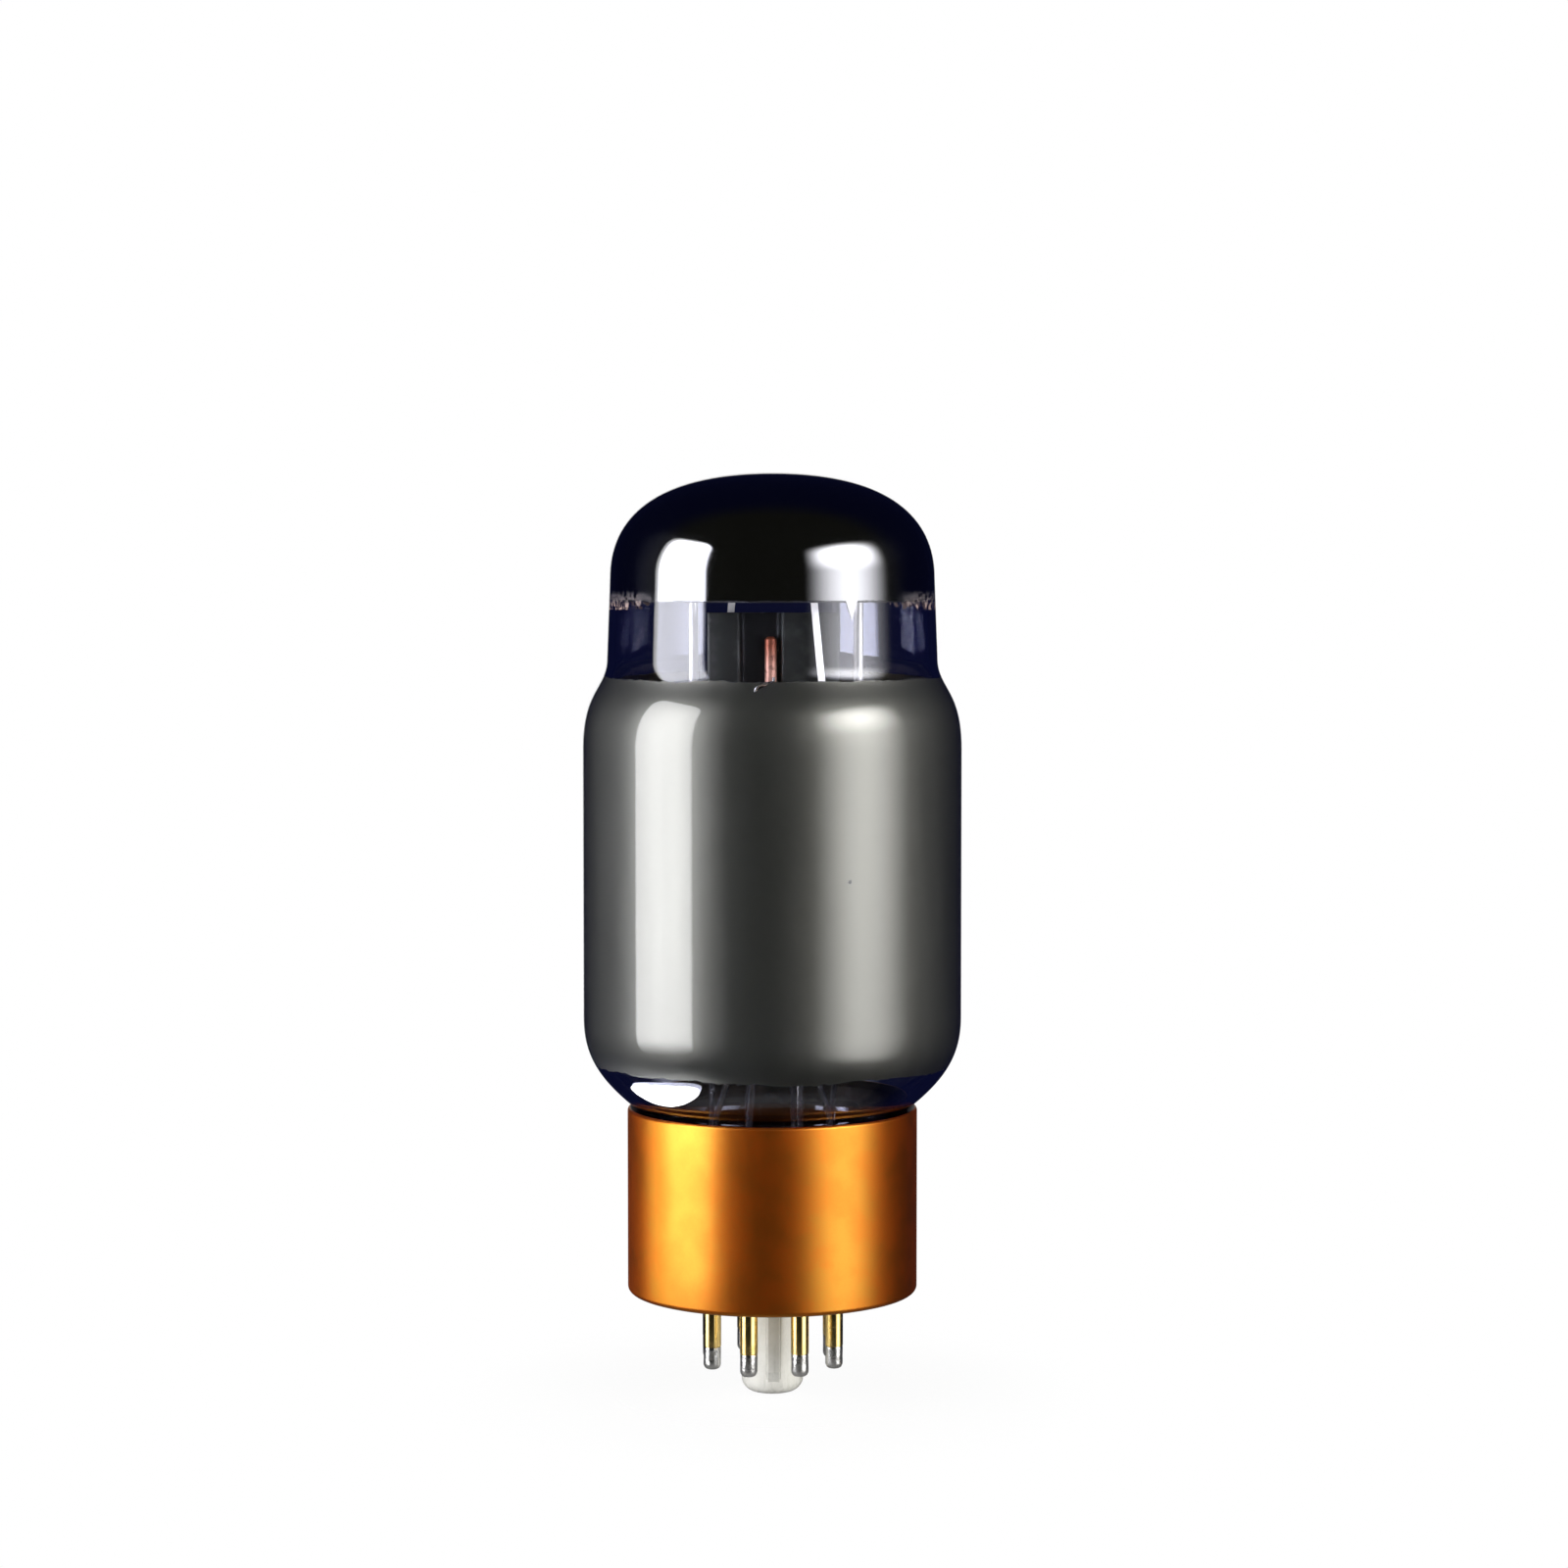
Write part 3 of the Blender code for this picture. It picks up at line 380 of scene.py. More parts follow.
@dataclass(frozen=True)
class DrawnMetal(Finish):
    """A bare metal that was drawn or rolled, with faint lines along Z and a little tarnish."""

    colour: Colour = (0.62, 0.60, 0.57)
    tarnish: Colour = (0.40, 0.37, 0.33)
    roughness: float = 0.22
    line_size: float = 0.15 * MM

    def shade(self, graph: Graph) -> None:
        """Draws fine lines along the piece and tarnishes it in patches."""
        lines = graph.grain(self.line_size, 2.0, (1, 1, 0.06))
        patches = graph.grain(2.2 * MM, 4.0).ease(0.50, 0.72)
        surface = graph.principled(
            Base_Color=graph.blend(patches * 0.6, self.colour, self.tarnish),
            Metallic=1.0,
            Roughness=lines * 0.14 + patches * 0.12 + (self.roughness - 0.07),
            Normal=graph.bump(lines, 0.006 * MM, 0.5),
        )
        graph.finish(surface)


@dataclass(frozen=True)
class TopShadedCopper(Finish):
    """Copper rod with shade painted towards its top end, darker upwards."""

    bright: Colour = (0.95, 0.52, 0.38)
    # Painted shade for the rod's top, where its highlight fades.
    painted_top_shade: Colour = (0.42, 0.12, 0.06)
    bloom: Colour = (0.14, 0.030, 0.018)
    shade_low: float = 81.5 * MM
    shade_high: float = 86.0 * MM

    def shade(self, graph: Graph) -> None:
        """Paints shade on the rod, darker upwards, with patches of oxide bloom."""
        lines = graph.grain(0.15 * MM, 2.0, (1, 1, 0.06))
        bloomed = graph.grain(0.9 * MM, 4.0).ease(0.50, 0.68)
        # Painted shade: between these heights the copper darkens upwards from its lit colour to the
        # shaded one.
        top_shade_share = graph.axis("Z").ease(self.shade_low, self.shade_high)
        tone = graph.blend(top_shade_share, self.bright, self.painted_top_shade)
        surface = graph.principled(
            Base_Color=graph.blend(bloomed * 0.6, tone, self.bloom),
            Metallic=0.55,
            Roughness=lines * 0.10 + bloomed * 0.10 + 0.36,
            Normal=graph.bump(lines, 0.006 * MM, 0.4),
        )
        graph.finish(surface)


@dataclass(frozen=True)
class SolderSkin(Finish):
    """Tin solder that has run over a pin's end and set in soft ripples."""

    colour: Colour = (0.56, 0.56, 0.56)
    flux: Colour = (0.16, 0.12, 0.07)

    def shade(self, graph: Graph) -> None:
        """Ripples the solder and leaves a little flux in its hollows."""
        ripples = graph.grain(0.9 * MM, 3.0)
        residue = graph.grain(0.5 * MM, 4.0).ease(0.60, 0.72)
        surface = graph.principled(
            Base_Color=graph.blend(residue * 0.5, self.colour, self.flux),
            Metallic=1.0 - residue * 0.4,
            Roughness=ripples * 0.20 + 0.12,
            Normal=graph.bump(ripples, 0.08 * MM, 0.8),
        )
        graph.finish(surface)


@dataclass(frozen=True)
class MouldedKey(Finish):
    """The pale insulator that carries the guide key."""

    colour: Colour = (0.90, 0.89, 0.85)
    shade_colour: Colour = (0.66, 0.66, 0.61)

    def shade(self, graph: Graph) -> None:
        """Mottles the pale body and marks it with faint flow lines along the key."""
        mottle = graph.grain(1.4 * MM, 4.0).ease(0.40, 0.68)
        flow = graph.grain(0.5 * MM, 3.0, (1, 1, 0.10))
        share = (mottle * 0.35 + flow.ease(0.50, 0.66) * 0.4).clamp()
        surface = graph.principled(
            Base_Color=graph.blend(share, self.colour, self.shade_colour),
            Roughness=mottle * 0.10 + 0.22,
            Coat_Weight=0.4,
            Coat_Roughness=0.08,
            Normal=graph.bump(flow, 0.02 * MM, 0.5),
        )
        graph.finish(surface)


@dataclass(frozen=True)
class CobaltGlass(Finish):
    """Glass that is tinted through its thickness, so that its edges turn navy."""

    tint: Colour = (0.30, 0.36, 0.86)
    density: float = 190.0
    ior: float = 1.52
    lamp_tint: Colour = (0.90, 0.90, 0.90)

    def shade(self, graph: Graph) -> None:
        """Refracts, absorbs along the way, and lets the lamps light what is inside."""
        smudge = graph.grain(9.0 * MM, 3.0).ease(0.45, 0.75)
        glass = graph.principled(
            Base_Color=(1.0, 1.0, 1.0),
            Roughness=smudge * 0.015,
            IOR=self.ior,
            Transmission_Weight=1.0,
        )
        inputs = {"Color": (*self.tint, 1.0), "Density": self.density}
        tint = graph.node("ShaderNodeVolumeAbsorption", inputs=inputs)
        graph.finish(graph.lets_lamps_through(glass, self.lamp_tint), tint)


@dataclass(frozen=True)
class PressedGlass(Finish):
    """The clear, slightly seedy glass of the stem."""

    colour: Colour = (0.86, 0.92, 0.93)
    lamp_tint: Colour = (0.80, 0.84, 0.85)

    def shade(self, graph: Graph) -> None:
        """Refracts softly, with a rippled skin from pressing."""
        ripple = graph.grain(1.2 * MM, 2.0)
        glass = graph.principled(
            Base_Color=self.colour,
            Roughness=ripple * 0.12 + 0.02,
            IOR=1.5,
            Transmission_Weight=1.0,
            Normal=graph.bump(ripple, 0.04 * MM, 0.4),
        )
        graph.finish(graph.lets_lamps_through(glass, self.lamp_tint))


@dataclass(frozen=True)
class GraphiteFilm(Finish):
    """The grey conductive film on the bulb's inner wall, with uneven edges."""

    top: float = 81.3 * MM
    low: float = 30.7 * MM
    colour: Colour = (0.0060, 0.0062, 0.0040)
    streak_colour: Colour = (0.0035, 0.0037, 0.0024)
    wander: float = 1.1 * MM
    edge: float = 0.16 * MM
    pinhole: Point3 = (8.9 * MM, -22.1 * MM, 56.2 * MM)
    pinhole_radius: float = 0.36 * MM
    scratch: Point2 = (-1.75 * MM, 80.85 * MM)
    scratch_slope: float = 0.60
    scratch_half_length: float = 1.25 * MM
    scratch_half_width: float = 0.34 * MM
    ior: float = 1.75
    sheen: Colour = (1.0, 0.98, 0.76)

    def shade(self, graph: Graph) -> None:
        """Streaks the film down the wall and lets it fray at both of its edges."""
        height = graph.axis("Z")
        coarse = graph.grain(7.0 * MM, 3.0, (1, 1, 0.2)) - 0.5
        ragged = graph.grain(0.9 * MM, 3.0) - 0.5
        fray = coarse * self.wander + ragged * (self.wander * 0.35)
        below_top = (self.top - height + fray).ease(0.0, self.edge)
        above_low = (height - self.low + fray * 1.6).ease(0.0, self.edge)
        streaks = graph.grain(2.6 * MM, 4.0, (1, 1, 0.12)).ease(0.35, 0.70)
        fine = graph.grain(0.25 * MM, 2.0)
        along = graph.axis("X") - self.scratch[0]
        above = height - self.scratch[1] - along * self.scratch_slope
        beside = above.math("ABSOLUTE").ease(self.scratch_half_width * 0.6, self.scratch_half_width)
        past = along.math("ABSOLUTE").ease(self.scratch_half_length * 0.8, self.scratch_half_length)
        whole = beside.math("MAXIMUM", past).math("MAXIMUM", graph.axis("Y").ease(-1 * MM, 1 * MM))
        offset = graph.vector("DISTANCE", graph.place(), self.pinhole, take="Value")
        unpierced = offset.ease(self.pinhole_radius * 0.6, self.pinhole_radius)
        surface = graph.principled(
            Base_Color=graph.blend(streaks * 0.7, self.colour, self.streak_colour),
            Roughness=fine * 0.06 + streaks * 0.03 + 0.265,
            IOR=self.ior,
            Specular_IOR_Level=1.0,
            Specular_Tint=self.sheen,
            Alpha=below_top * above_low * whole * unpierced,
            Normal=graph.bump(fine, 0.01 * MM, 0.4),
        )
        graph.finish(surface)


@dataclass(frozen=True)
class GetterMirror(Finish):
    """The flashed metal mirror in the dome, browned and broken along its lower edge."""

    low: float = 91.5 * MM
    mirror: Colour = (0.28, 0.277, 0.256)
    scorch: Colour = (0.50, 0.35, 0.25)
    wander: float = 0.5 * MM
    spike_turn: float = radians(27)
    spike_spread: float = radians(2.4)
    spike_drop: float = 2.5 * MM

    def shade(self, graph: Graph) -> None:
        """Fades the mirror through brown to clear glass at an uneven edge with one long run."""
        height = graph.axis("Z")
        turn = graph.axis("X").math("ARCTAN2", graph.axis("Y") * -1.0)
        swing = ((turn - self.spike_turn) / self.spike_spread).math("ABSOLUTE")
        spike = (1.0 - swing).math("MAXIMUM", 0.0) * self.spike_drop
        fray = (graph.grain(3.0 * MM, 4.0) - 0.5) * self.wander
        flakes = graph.grain(0.9 * MM, 4.0).ease(0.50, 0.60)
        sides = graph.axis("X").math("ABSOLUTE").ease(15.0 * MM, 17.5 * MM)
        margin = height - self.low + fray + spike + flakes * sides * (self.wander * 2.4)
        film = margin.ease(0.0, 0.12 * MM)
        brown = (1.0 - margin.ease(0.5 * MM, 1.4 * MM)) * sides * (flakes * 0.7 + 0.3)
        ripple = graph.grain(6.0 * MM, 3.0)
        surface = graph.principled(
            Base_Color=graph.blend(brown, self.mirror, self.scorch),
            Metallic=1.0 - brown * 0.7,
            Roughness=brown * 0.40 + ripple * 0.04 + 0.03,
            Alpha=film,
        )
        graph.finish(surface)


@dataclass(frozen=True)
class CarbonisedNickel(Finish):
    """Sheet nickel with a baked carbon skin."""

    colour: Colour = (0.030, 0.032, 0.027)
    worn: Colour = (0.075, 0.077, 0.068)
    # Painted shade: near black for the channel and lips that lie behind the sheet's front face.
    painted_channel_shade: Colour = (0.004, 0.004, 0.005)
    recess_back: float = 4.4 * MM
    recess_front: float = 4.95 * MM

    def shade(self, graph: Graph) -> None:
        """Brushes the sheet faintly, wears its carbon in patches and paints shade into the pressed
        channel.
        """
        brushed = graph.grain(0.35 * MM, 3.0, (1, 1, 0.08))
        worn = graph.grain(2.4 * MM, 4.0).ease(0.46, 0.70)
        # Painted shade: nearer the axis than the front face, in the channel and on the folded lips,
        # the colour turns near black.
        depth = graph.axis("Y").math("ABSOLUTE")
        channel_shade_share = 1.0 - depth.ease(self.recess_back, self.recess_front)
        outer = graph.axis("X").math("ABSOLUTE").ease(5.0 * MM, 8.6 * MM)
        tone = graph.blend(worn * 0.5 + outer * 0.8, self.colour, self.worn)
        surface = graph.principled(
            Base_Color=graph.blend(channel_shade_share, tone, self.painted_channel_shade),
            Metallic=0.35,
            Roughness=brushed * 0.16 + 0.38,
            Normal=graph.bump(brushed, 0.01 * MM, 0.5),
        )
        graph.finish(surface)


@dataclass(frozen=True)
class PowderCoat(Finish):
    """A dry, matt mineral surface, such as a cathode's oxide, cement or mica."""

    colour: Colour = (0.80, 0.80, 0.78)
    stain: Colour = (0.60, 0.58, 0.54)
    roughness: float = 0.80
    grain_size: float = 0.3 * MM
    grain_depth: float = 0.03 * MM

    def shade(self, graph: Graph) -> None:
        """Grains the surface and stains it in clouds."""
        grains = graph.grain(self.grain_size, 4.0)
        stain = graph.grain(3.0 * MM, 4.0).ease(0.42, 0.70)
        surface = graph.principled(
            Base_Color=graph.blend(stain * 0.8, self.colour, self.stain),
            Roughness=grains * 0.12 + (self.roughness - 0.06),
            Normal=graph.bump(grains, self.grain_depth, 0.6),
        )
        graph.finish(surface)


class Coat(Enum):
    """Every finish of the tube."""

    ANODISED = SatinAnodised("gold_anodised")
    KEY = MouldedKey("pale_key_moulding")
    CEMENT = PowderCoat("base_cement", (0.045, 0.034, 0.024), (0.024, 0.017, 0.012), 0.9)
    GOLD_PLATE = DrawnMetal("gold_plate", (0.83, 0.62, 0.24), (0.52, 0.36, 0.12), 0.16)
    SOLDER = SolderSkin("solder")
    COBALT = CobaltGlass("cobalt_glass")
    STEM = PressedGlass("stem_glass")
    GRAPHITE = GraphiteFilm("graphite_film")
    GETTER = GetterMirror("getter_mirror")
    MICA = PowderCoat("mica", (0.40, 0.33, 0.22), (0.26, 0.20, 0.13), 0.35, MM)
    SOOTED_MICA = PowderCoat("sooted_mica", (0.030, 0.027, 0.024), (0.018, 0.016, 0.015), 0.5, MM)
    NICKEL = DrawnMetal("nickel")
    BRIGHT_NICKEL = DrawnMetal("bright_nickel", (0.88, 0.86, 0.80), (0.74, 0.72, 0.66), 0.42)
    SATIN_NICKEL = DrawnMetal("satin_nickel", (0.96, 0.94, 0.87), (0.86, 0.84, 0.76), 0.50)
    COPPER = TopShadedCopper("copper")
    CARBON = CarbonisedNickel("carbonised_nickel")
    OXIDE = PowderCoat("cathode_oxide")


# Shapes


class Shape:
    """Mesh tools that every sub-assembly shares."""

    @staticmethod
    def bezier(a: Point2, b: Point2, c: Point2, d: Point2, steps: int) -> list[Point2]:
        """Points along a cubic curve, without its first point.

        Args:
            a: The curve's start.
            b: The handle of its start.
            c: The handle of its end.
            d: The curve's end.
            steps: How many points to give.

        Returns:
            The points.
        """
        points = []
        for i in range(1, steps + 1):
            t = i / steps
            weights = ((1 - t) ** 3, 3 * (1 - t) ** 2 * t, 3 * (1 - t) * t**2, t**3)
            pairs = list(zip(weights, (a, b, c, d)))
            points.append(tuple(sum(w * p[k] for w, p in pairs) for k in (0, 1)))
        return points

    @staticmethod
    def arc(centre: Point2, radius: float, start: float, end: float, steps: int) -> list[Point2]:
        """Points along an arc, with both of its ends.

        Args:
            centre: The arc's centre.
            radius: Its radius.
            start: The angle of its first point.
            end: The angle of its last point.
            steps: How many chords it has.

        Returns:
            The points.
        """
        turns = [start + (end - start) * i / steps for i in range(steps + 1)]
        return [(centre[0] + radius * cos(t), centre[1] + radius * sin(t)) for t in turns]

    @staticmethod
    def inset(points: Sequence[Point2], distance: float) -> list[Point2]:
        """A wall's outline, moved inwards. Its first point stays on the axis.

        Args:
            points: The outer outline from the crown down.
            distance: How far it moves.

        Returns:
            The moved outline.
        """
        moved = []
        for i, (radius, height) in enumerate(points):
            before = points[max(i - 1, 0)]
            after = points[min(i + 1, len(points) - 1)]
            dr, dz = after[0] - before[0], after[1] - before[1]
            length = hypot(dr, dz)
            if i == 0:
                moved.append((0.0, height - distance))
            elif i == len(points) - 1:
                moved.append((radius - distance, height))
            else:
                moved.append((radius + dz / length * distance, height - dr / length * distance))
        return moved

    @staticmethod
    def between(points: Sequence[Point2], low: float, high: float) -> list[Point2]:
        """The stretch of a falling outline between two heights.

        Args:
            points: The outline from the top down.
            low: Where it is cut at the bottom.
            high: Where it is cut at the top.

        Returns:
            The stretch, with its ends cut there.
        """
        kept = [points[0]] if low <= points[0][1] <= high else []
        for (r0, z0), (r1, z1) in zip(points, points[1:]):
            for z in (high, low):
                if z1 < z < z0:
                    share = (z0 - z) / (z0 - z1)
                    kept.append((r0 + (r1 - r0) * share, z))
            if low <= z1 <= high:
                kept.append((r1, z1))
        return kept

    @staticmethod
    def turned(outline: Sequence[Point2], sides: int) -> Solid:
        """A closed shape made by turning an outline about Z.

        Args:
            outline: The (radius, height) points, from the top down the outer side.
            sides: How many faces go round.

        Returns:
            The shape.
        """
        shape = bmesh.new()
        verts = [shape.verts.new((radius, 0.0, height)) for radius, height in outline]
        edges = [shape.edges.new((verts[i - 1], verts[i])) for i in range(len(verts))]
        on_axis = [e for e in edges if all(abs(v.co.x) < 1e-9 for v in e.verts)]
        bmesh.ops.delete(shape, geom=on_axis, context="EDGES")
        geom = shape.verts[:] + shape.edges[:]
        spin = {"axis": (0, 0, 1), "cent": (0, 0, 0), "angle": 2 * pi, "steps": sides}
        bmesh.ops.spin(shape, geom=geom, **spin)
        bmesh.ops.remove_doubles(shape, verts=shape.verts[:], dist=1e-7)
        bmesh.ops.recalc_face_normals(shape, faces=shape.faces[:])
        return shape

    @staticmethod
    def prism(outline: Sequence[Point2], low: float, high: float) -> Solid:
        """A straight prism over an outline in the XY plane.

        Args:
            outline: The outline's corners.
            low: The height of its foot.
            high: The height of its top.

        Returns:
            The shape.
        """
        shape = bmesh.new()
        face = shape.faces.new([shape.verts.new((x, y, low)) for x, y in outline])
        swept = bmesh.ops.extrude_face_region(shape, geom=[face])["geom"]
        top = [v for v in swept if isinstance(v, bmesh.types.BMVert)]
        bmesh.ops.translate(shape, verts=top, vec=(0.0, 0.0, high - low))
        bmesh.ops.recalc_face_normals(shape, faces=shape.faces[:])
        return shape

    @staticmethod
    def sheet(path: Sequence[Point2], thickness: float) -> list[Point2]:
        """The outline of a folded sheet.

        Args:
            path: The fold line that one face of the sheet follows.
            thickness: The sheet's thickness, on the path's left.

        Returns:
            The outline's corners.
        """
        left = []
        for i, (x, y) in enumerate(path):
            sides = []
            for a, b in ((i - 1, i), (i, i + 1)):
                if a >= 0 and b < len(path):
                    dx, dy = path[b][0] - path[a][0], path[b][1] - path[a][1]
                    length = hypot(dx, dy)
                    sides.append(Vector((-dy / length, dx / length)))
            normal = sum(sides, Vector((0.0, 0.0))).normalized()
            reach = thickness / normal.dot(sides[0])
            left.append((x + normal.x * reach, y + normal.y * reach))
        return list(path) + left[::-1]

    @staticmethod
    def eased(path: Sequence[Point2], radius: float, steps: int = 4) -> list[Point2]:
        """A path whose inner corners are rounded.

        Args:
            path: The path's corners.
            radius: How far from each corner the rounding starts.
            steps: How many chords each rounding has.

        Returns:
            The rounded path.
        """
        points = [Vector(p) for p in path]
        route = [points[0]]
        for before, here, after in zip(points, points[1:], points[2:]):
            reach_in = min(radius, (here - before).length * 0.45)
            reach_out = min(radius, (after - here).length * 0.45)
            start = here + (before - here).normalized() * reach_in
            end = here + (after - here).normalized() * reach_out
            for i in range(steps + 1):
                t = i / steps
                route.append(start.lerp(here, t).lerp(here.lerp(end, t), t))
        route.append(points[-1])
        return [tuple(p) for p in route]

    @staticmethod
    def tube(route: Sequence[Vector], radius: float, sides: int) -> Solid:
        """A round wire along a route, with rounded ends.

        Args:
            route: The points that its centre line follows.
            radius: The wire's radius.
            sides: How many faces go round.

        Returns:
            The shape.
        """
        shape = bmesh.new()
        spine = [route[0], *route, route[-1]]
        across = Vector((1.0, 0.0, 0.0))
        rings = []
        for i, centre in enumerate(spine):
            ahead = spine[min(i + 1, len(spine) - 1)] - spine[max(i - 1, 0)]
            ahead.normalize()
            across = (across - ahead * across.dot(ahead)).normalized()
            over = ahead.cross(across)
            at_end = i in (0, len(spine) - 1)
            here = centre + ahead * (radius * 0.4 * (-1 if i == 0 else 1)) if at_end else centre
            reach = radius * (0.6 if at_end else 1.0)
            turns = [2 * pi * k / sides for k in range(sides)]
            spokes = [(across * cos(t) + over * sin(t)) * reach for t in turns]
            rings.append([shape.verts.new(here + spoke) for spoke in spokes])
        for low, high in zip(rings, rings[1:]):
            for k in range(sides):
                shape.faces.new((low[k - 1], low[k], high[k], high[k - 1]))
        shape.faces.new(rings[0])
        shape.faces.new(rings[-1])
        bmesh.ops.recalc_face_normals(shape, faces=shape.faces[:])
        return shape


@dataclass
class Assembly:
    """A sub-assembly of the tube."""

    frame: dict

    def piece(
        self,
        name: str,
        shape: Solid,
        coat: Coat,
        stands_for: str | None,
        slot: str,
        sharp: float = 32.0,
    ) -> bpy.types.Object:
        """Makes a visible piece from a finished shape.

        Args:
            name: The piece's name.
            shape: Its shape, which is used up.
            coat: Its finish.
            stands_for: The CAD node that it replaces, if any.
            slot: The record's material slot that its finish belongs to; not used.
            sharp: The angle in degrees above which an edge stays sharp.

        Returns:
            The piece.
        """
        mesh = bpy.data.meshes.new(name)
        shape.to_mesh(mesh)
        shape.free()
        mesh.shade_smooth()
        mesh.set_sharp_from_angle(angle=radians(sharp))
        mesh.materials.append(coat.value.material())
        made = bpy.data.objects.new(name, mesh)
        bpy.context.scene.collection.objects.link(made)
        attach(made, BODY)
        if stands_for is not None:
            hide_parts(stands_for)
        LOG.info("%s: %d faces in %s", name, len(mesh.polygons), coat.value.name)
        return made

    def dress(self, coat: Coat, nodes: Iterable[str]) -> None:
        """Gives CAD nodes that stay visible their finish.

        Args:
            coat: The finish.
            nodes: The nodes' names.
        """
        for name in nodes:
            node = self.frame["nodes"][name]
            for slot in node.material_slots:
                slot.material = coat.value.material()
            LOG.info("%s: CAD node in %s", name, coat.value.name)

    @staticmethod
    def carve(target: Solid, tool: Solid, operation: str) -> Solid:
        """Fuses a tool's shape with another, or cuts it away.

        Args:
            target: The shape that is changed, which is used up.
            tool: The tool's shape, which is used up.
            operation: UNION or DIFFERENCE.

        Returns:
            The new shape.
        """
        made = []
        for shape in (target, tool):
            mesh = bpy.data.meshes.new("carving")
            shape.to_mesh(mesh)
            shape.free()
            made.append(bpy.data.objects.new("carving", mesh))
            bpy.context.scene.collection.objects.link(made[-1])
        modifier = made[0].modifiers.new("carving", "BOOLEAN")
        modifier.operation = operation
        modifier.object = made[1]
        modifier.solver = "EXACT"
        depsgraph = bpy.context.evaluated_depsgraph_get()
        result = bmesh.new()
        result.from_mesh(made[0].evaluated_get(depsgraph).to_mesh())
        for item in made:
            bpy.data.objects.remove(item)
        return result


# Sub-assemblies


@dataclass
class Bulb(Assembly):
    """The blown bulb with the two films on its inner wall."""

    sides: int = 144
    wall: float = 1.1 * MM
    body_radius: float = 25.01 * MM
    band_foot_radius: float = 21.8 * MM
    dome_foot_radius: float = 21.4 * MM
    crown: float = 108.3 * MM
    dome_low: float = 94.5 * MM
    band_low: float = 84.0 * MM
    band_handle: float = 4.0 * MM
    body_handle: float = 8.0 * MM
    body_high: float = 72.0 * MM
    body_low: float = 36.5 * MM
    cone_foot: float = 24.4 * MM
    cone_radius: float = 18.0 * MM
    cone_handle: Point2 = (5.0 * MM, 4.0 * MM)
    neck_top: float = 19.0 * MM
    neck_end: float = 8.2 * MM
    neck_radius: float = 15.5 * MM
    film_depth: float = 0.08 * MM
    film_back: float = 0.12 * MM

    def outline(self) -> list[Point2]:
        """The bulb's outer wall, from its crown to the neck's end."""
        crown = (0.0, self.crown)
        dome_foot = (self.dome_foot_radius, self.dome_low)
        band_foot = (self.band_foot_radius, self.band_low)
        body_top = (self.body_radius, self.body_high)
        body_foot = (self.body_radius, self.body_low)
        cone_foot = (self.cone_radius, self.cone_foot)
        neck_top = (self.neck_radius, self.neck_top)
        over, up = self.cone_handle
        points = [crown]
        crown_handle = (14.5 * MM, self.crown)
        side_handle = (self.dome_foot_radius, self.dome_low + 8.5 * MM)
        points += Shape.bezier(crown, crown_handle, side_handle, dome_foot, 34)
        points += Shape.bezier(dome_foot, dome_foot, band_foot, band_foot, 4)
        band_handle = (self.band_foot_radius, self.band_low - self.band_handle)
        body_handle = (self.body_radius, self.body_high + self.body_handle)
        points += Shape.bezier(band_foot, band_handle, body_handle, body_top, 30)
        points += Shape.bezier(body_top, body_top, body_foot, body_foot, 5)
        low_handle = (self.body_radius, self.body_low - 5.0 * MM)
        cone_handle = (self.cone_radius + over, self.cone_foot + up)
        points += Shape.bezier(body_foot, low_handle, cone_handle, cone_foot, 30)
        under_handle = (self.cone_radius - over / 2, self.cone_foot - up / 2)
        neck_handle = (self.neck_radius, self.neck_top + 2.4 * MM)
        points += Shape.bezier(cone_foot, under_handle, neck_handle, neck_top, 10)
        points.append((self.neck_radius, self.neck_end))
        return points

    def film(self, low: float, high: float) -> Solid:
        """A thin film fused to the bulb's inner wall.

        Args:
            low: The film's lower limit.
            high: Its upper limit.

        Returns:
            The film's shape.
        """
        outer = self.outline()
        face = Shape.between(Shape.inset(outer, self.wall - self.film_depth), low, high)
        back = Shape.between(Shape.inset(outer, self.wall + self.film_back), low, high)
        return Shape.turned(face + back[::-1], self.sides)

    def build(self) -> None:
        """Makes the glass and its films."""
        outer = self.outline()
        wall = outer + Shape.inset(outer, self.wall)[::-1]
        glass = Shape.turned(wall, self.sides)
        self.piece("bulb_glass", glass, Coat.COBALT, "glass_envelope", "blue_glass")
        graphite = self.film(28.8 * MM, 82.3 * MM)
        self.piece("bulb_graphite", graphite, Coat.GRAPHITE, "graphite_coating", "graphite_film")
        mirror = self.film(88.6 * MM, self.crown)
        self.piece("bulb_getter_mirror", mirror, Coat.GETTER, "getter_flash", "getter_mirror")


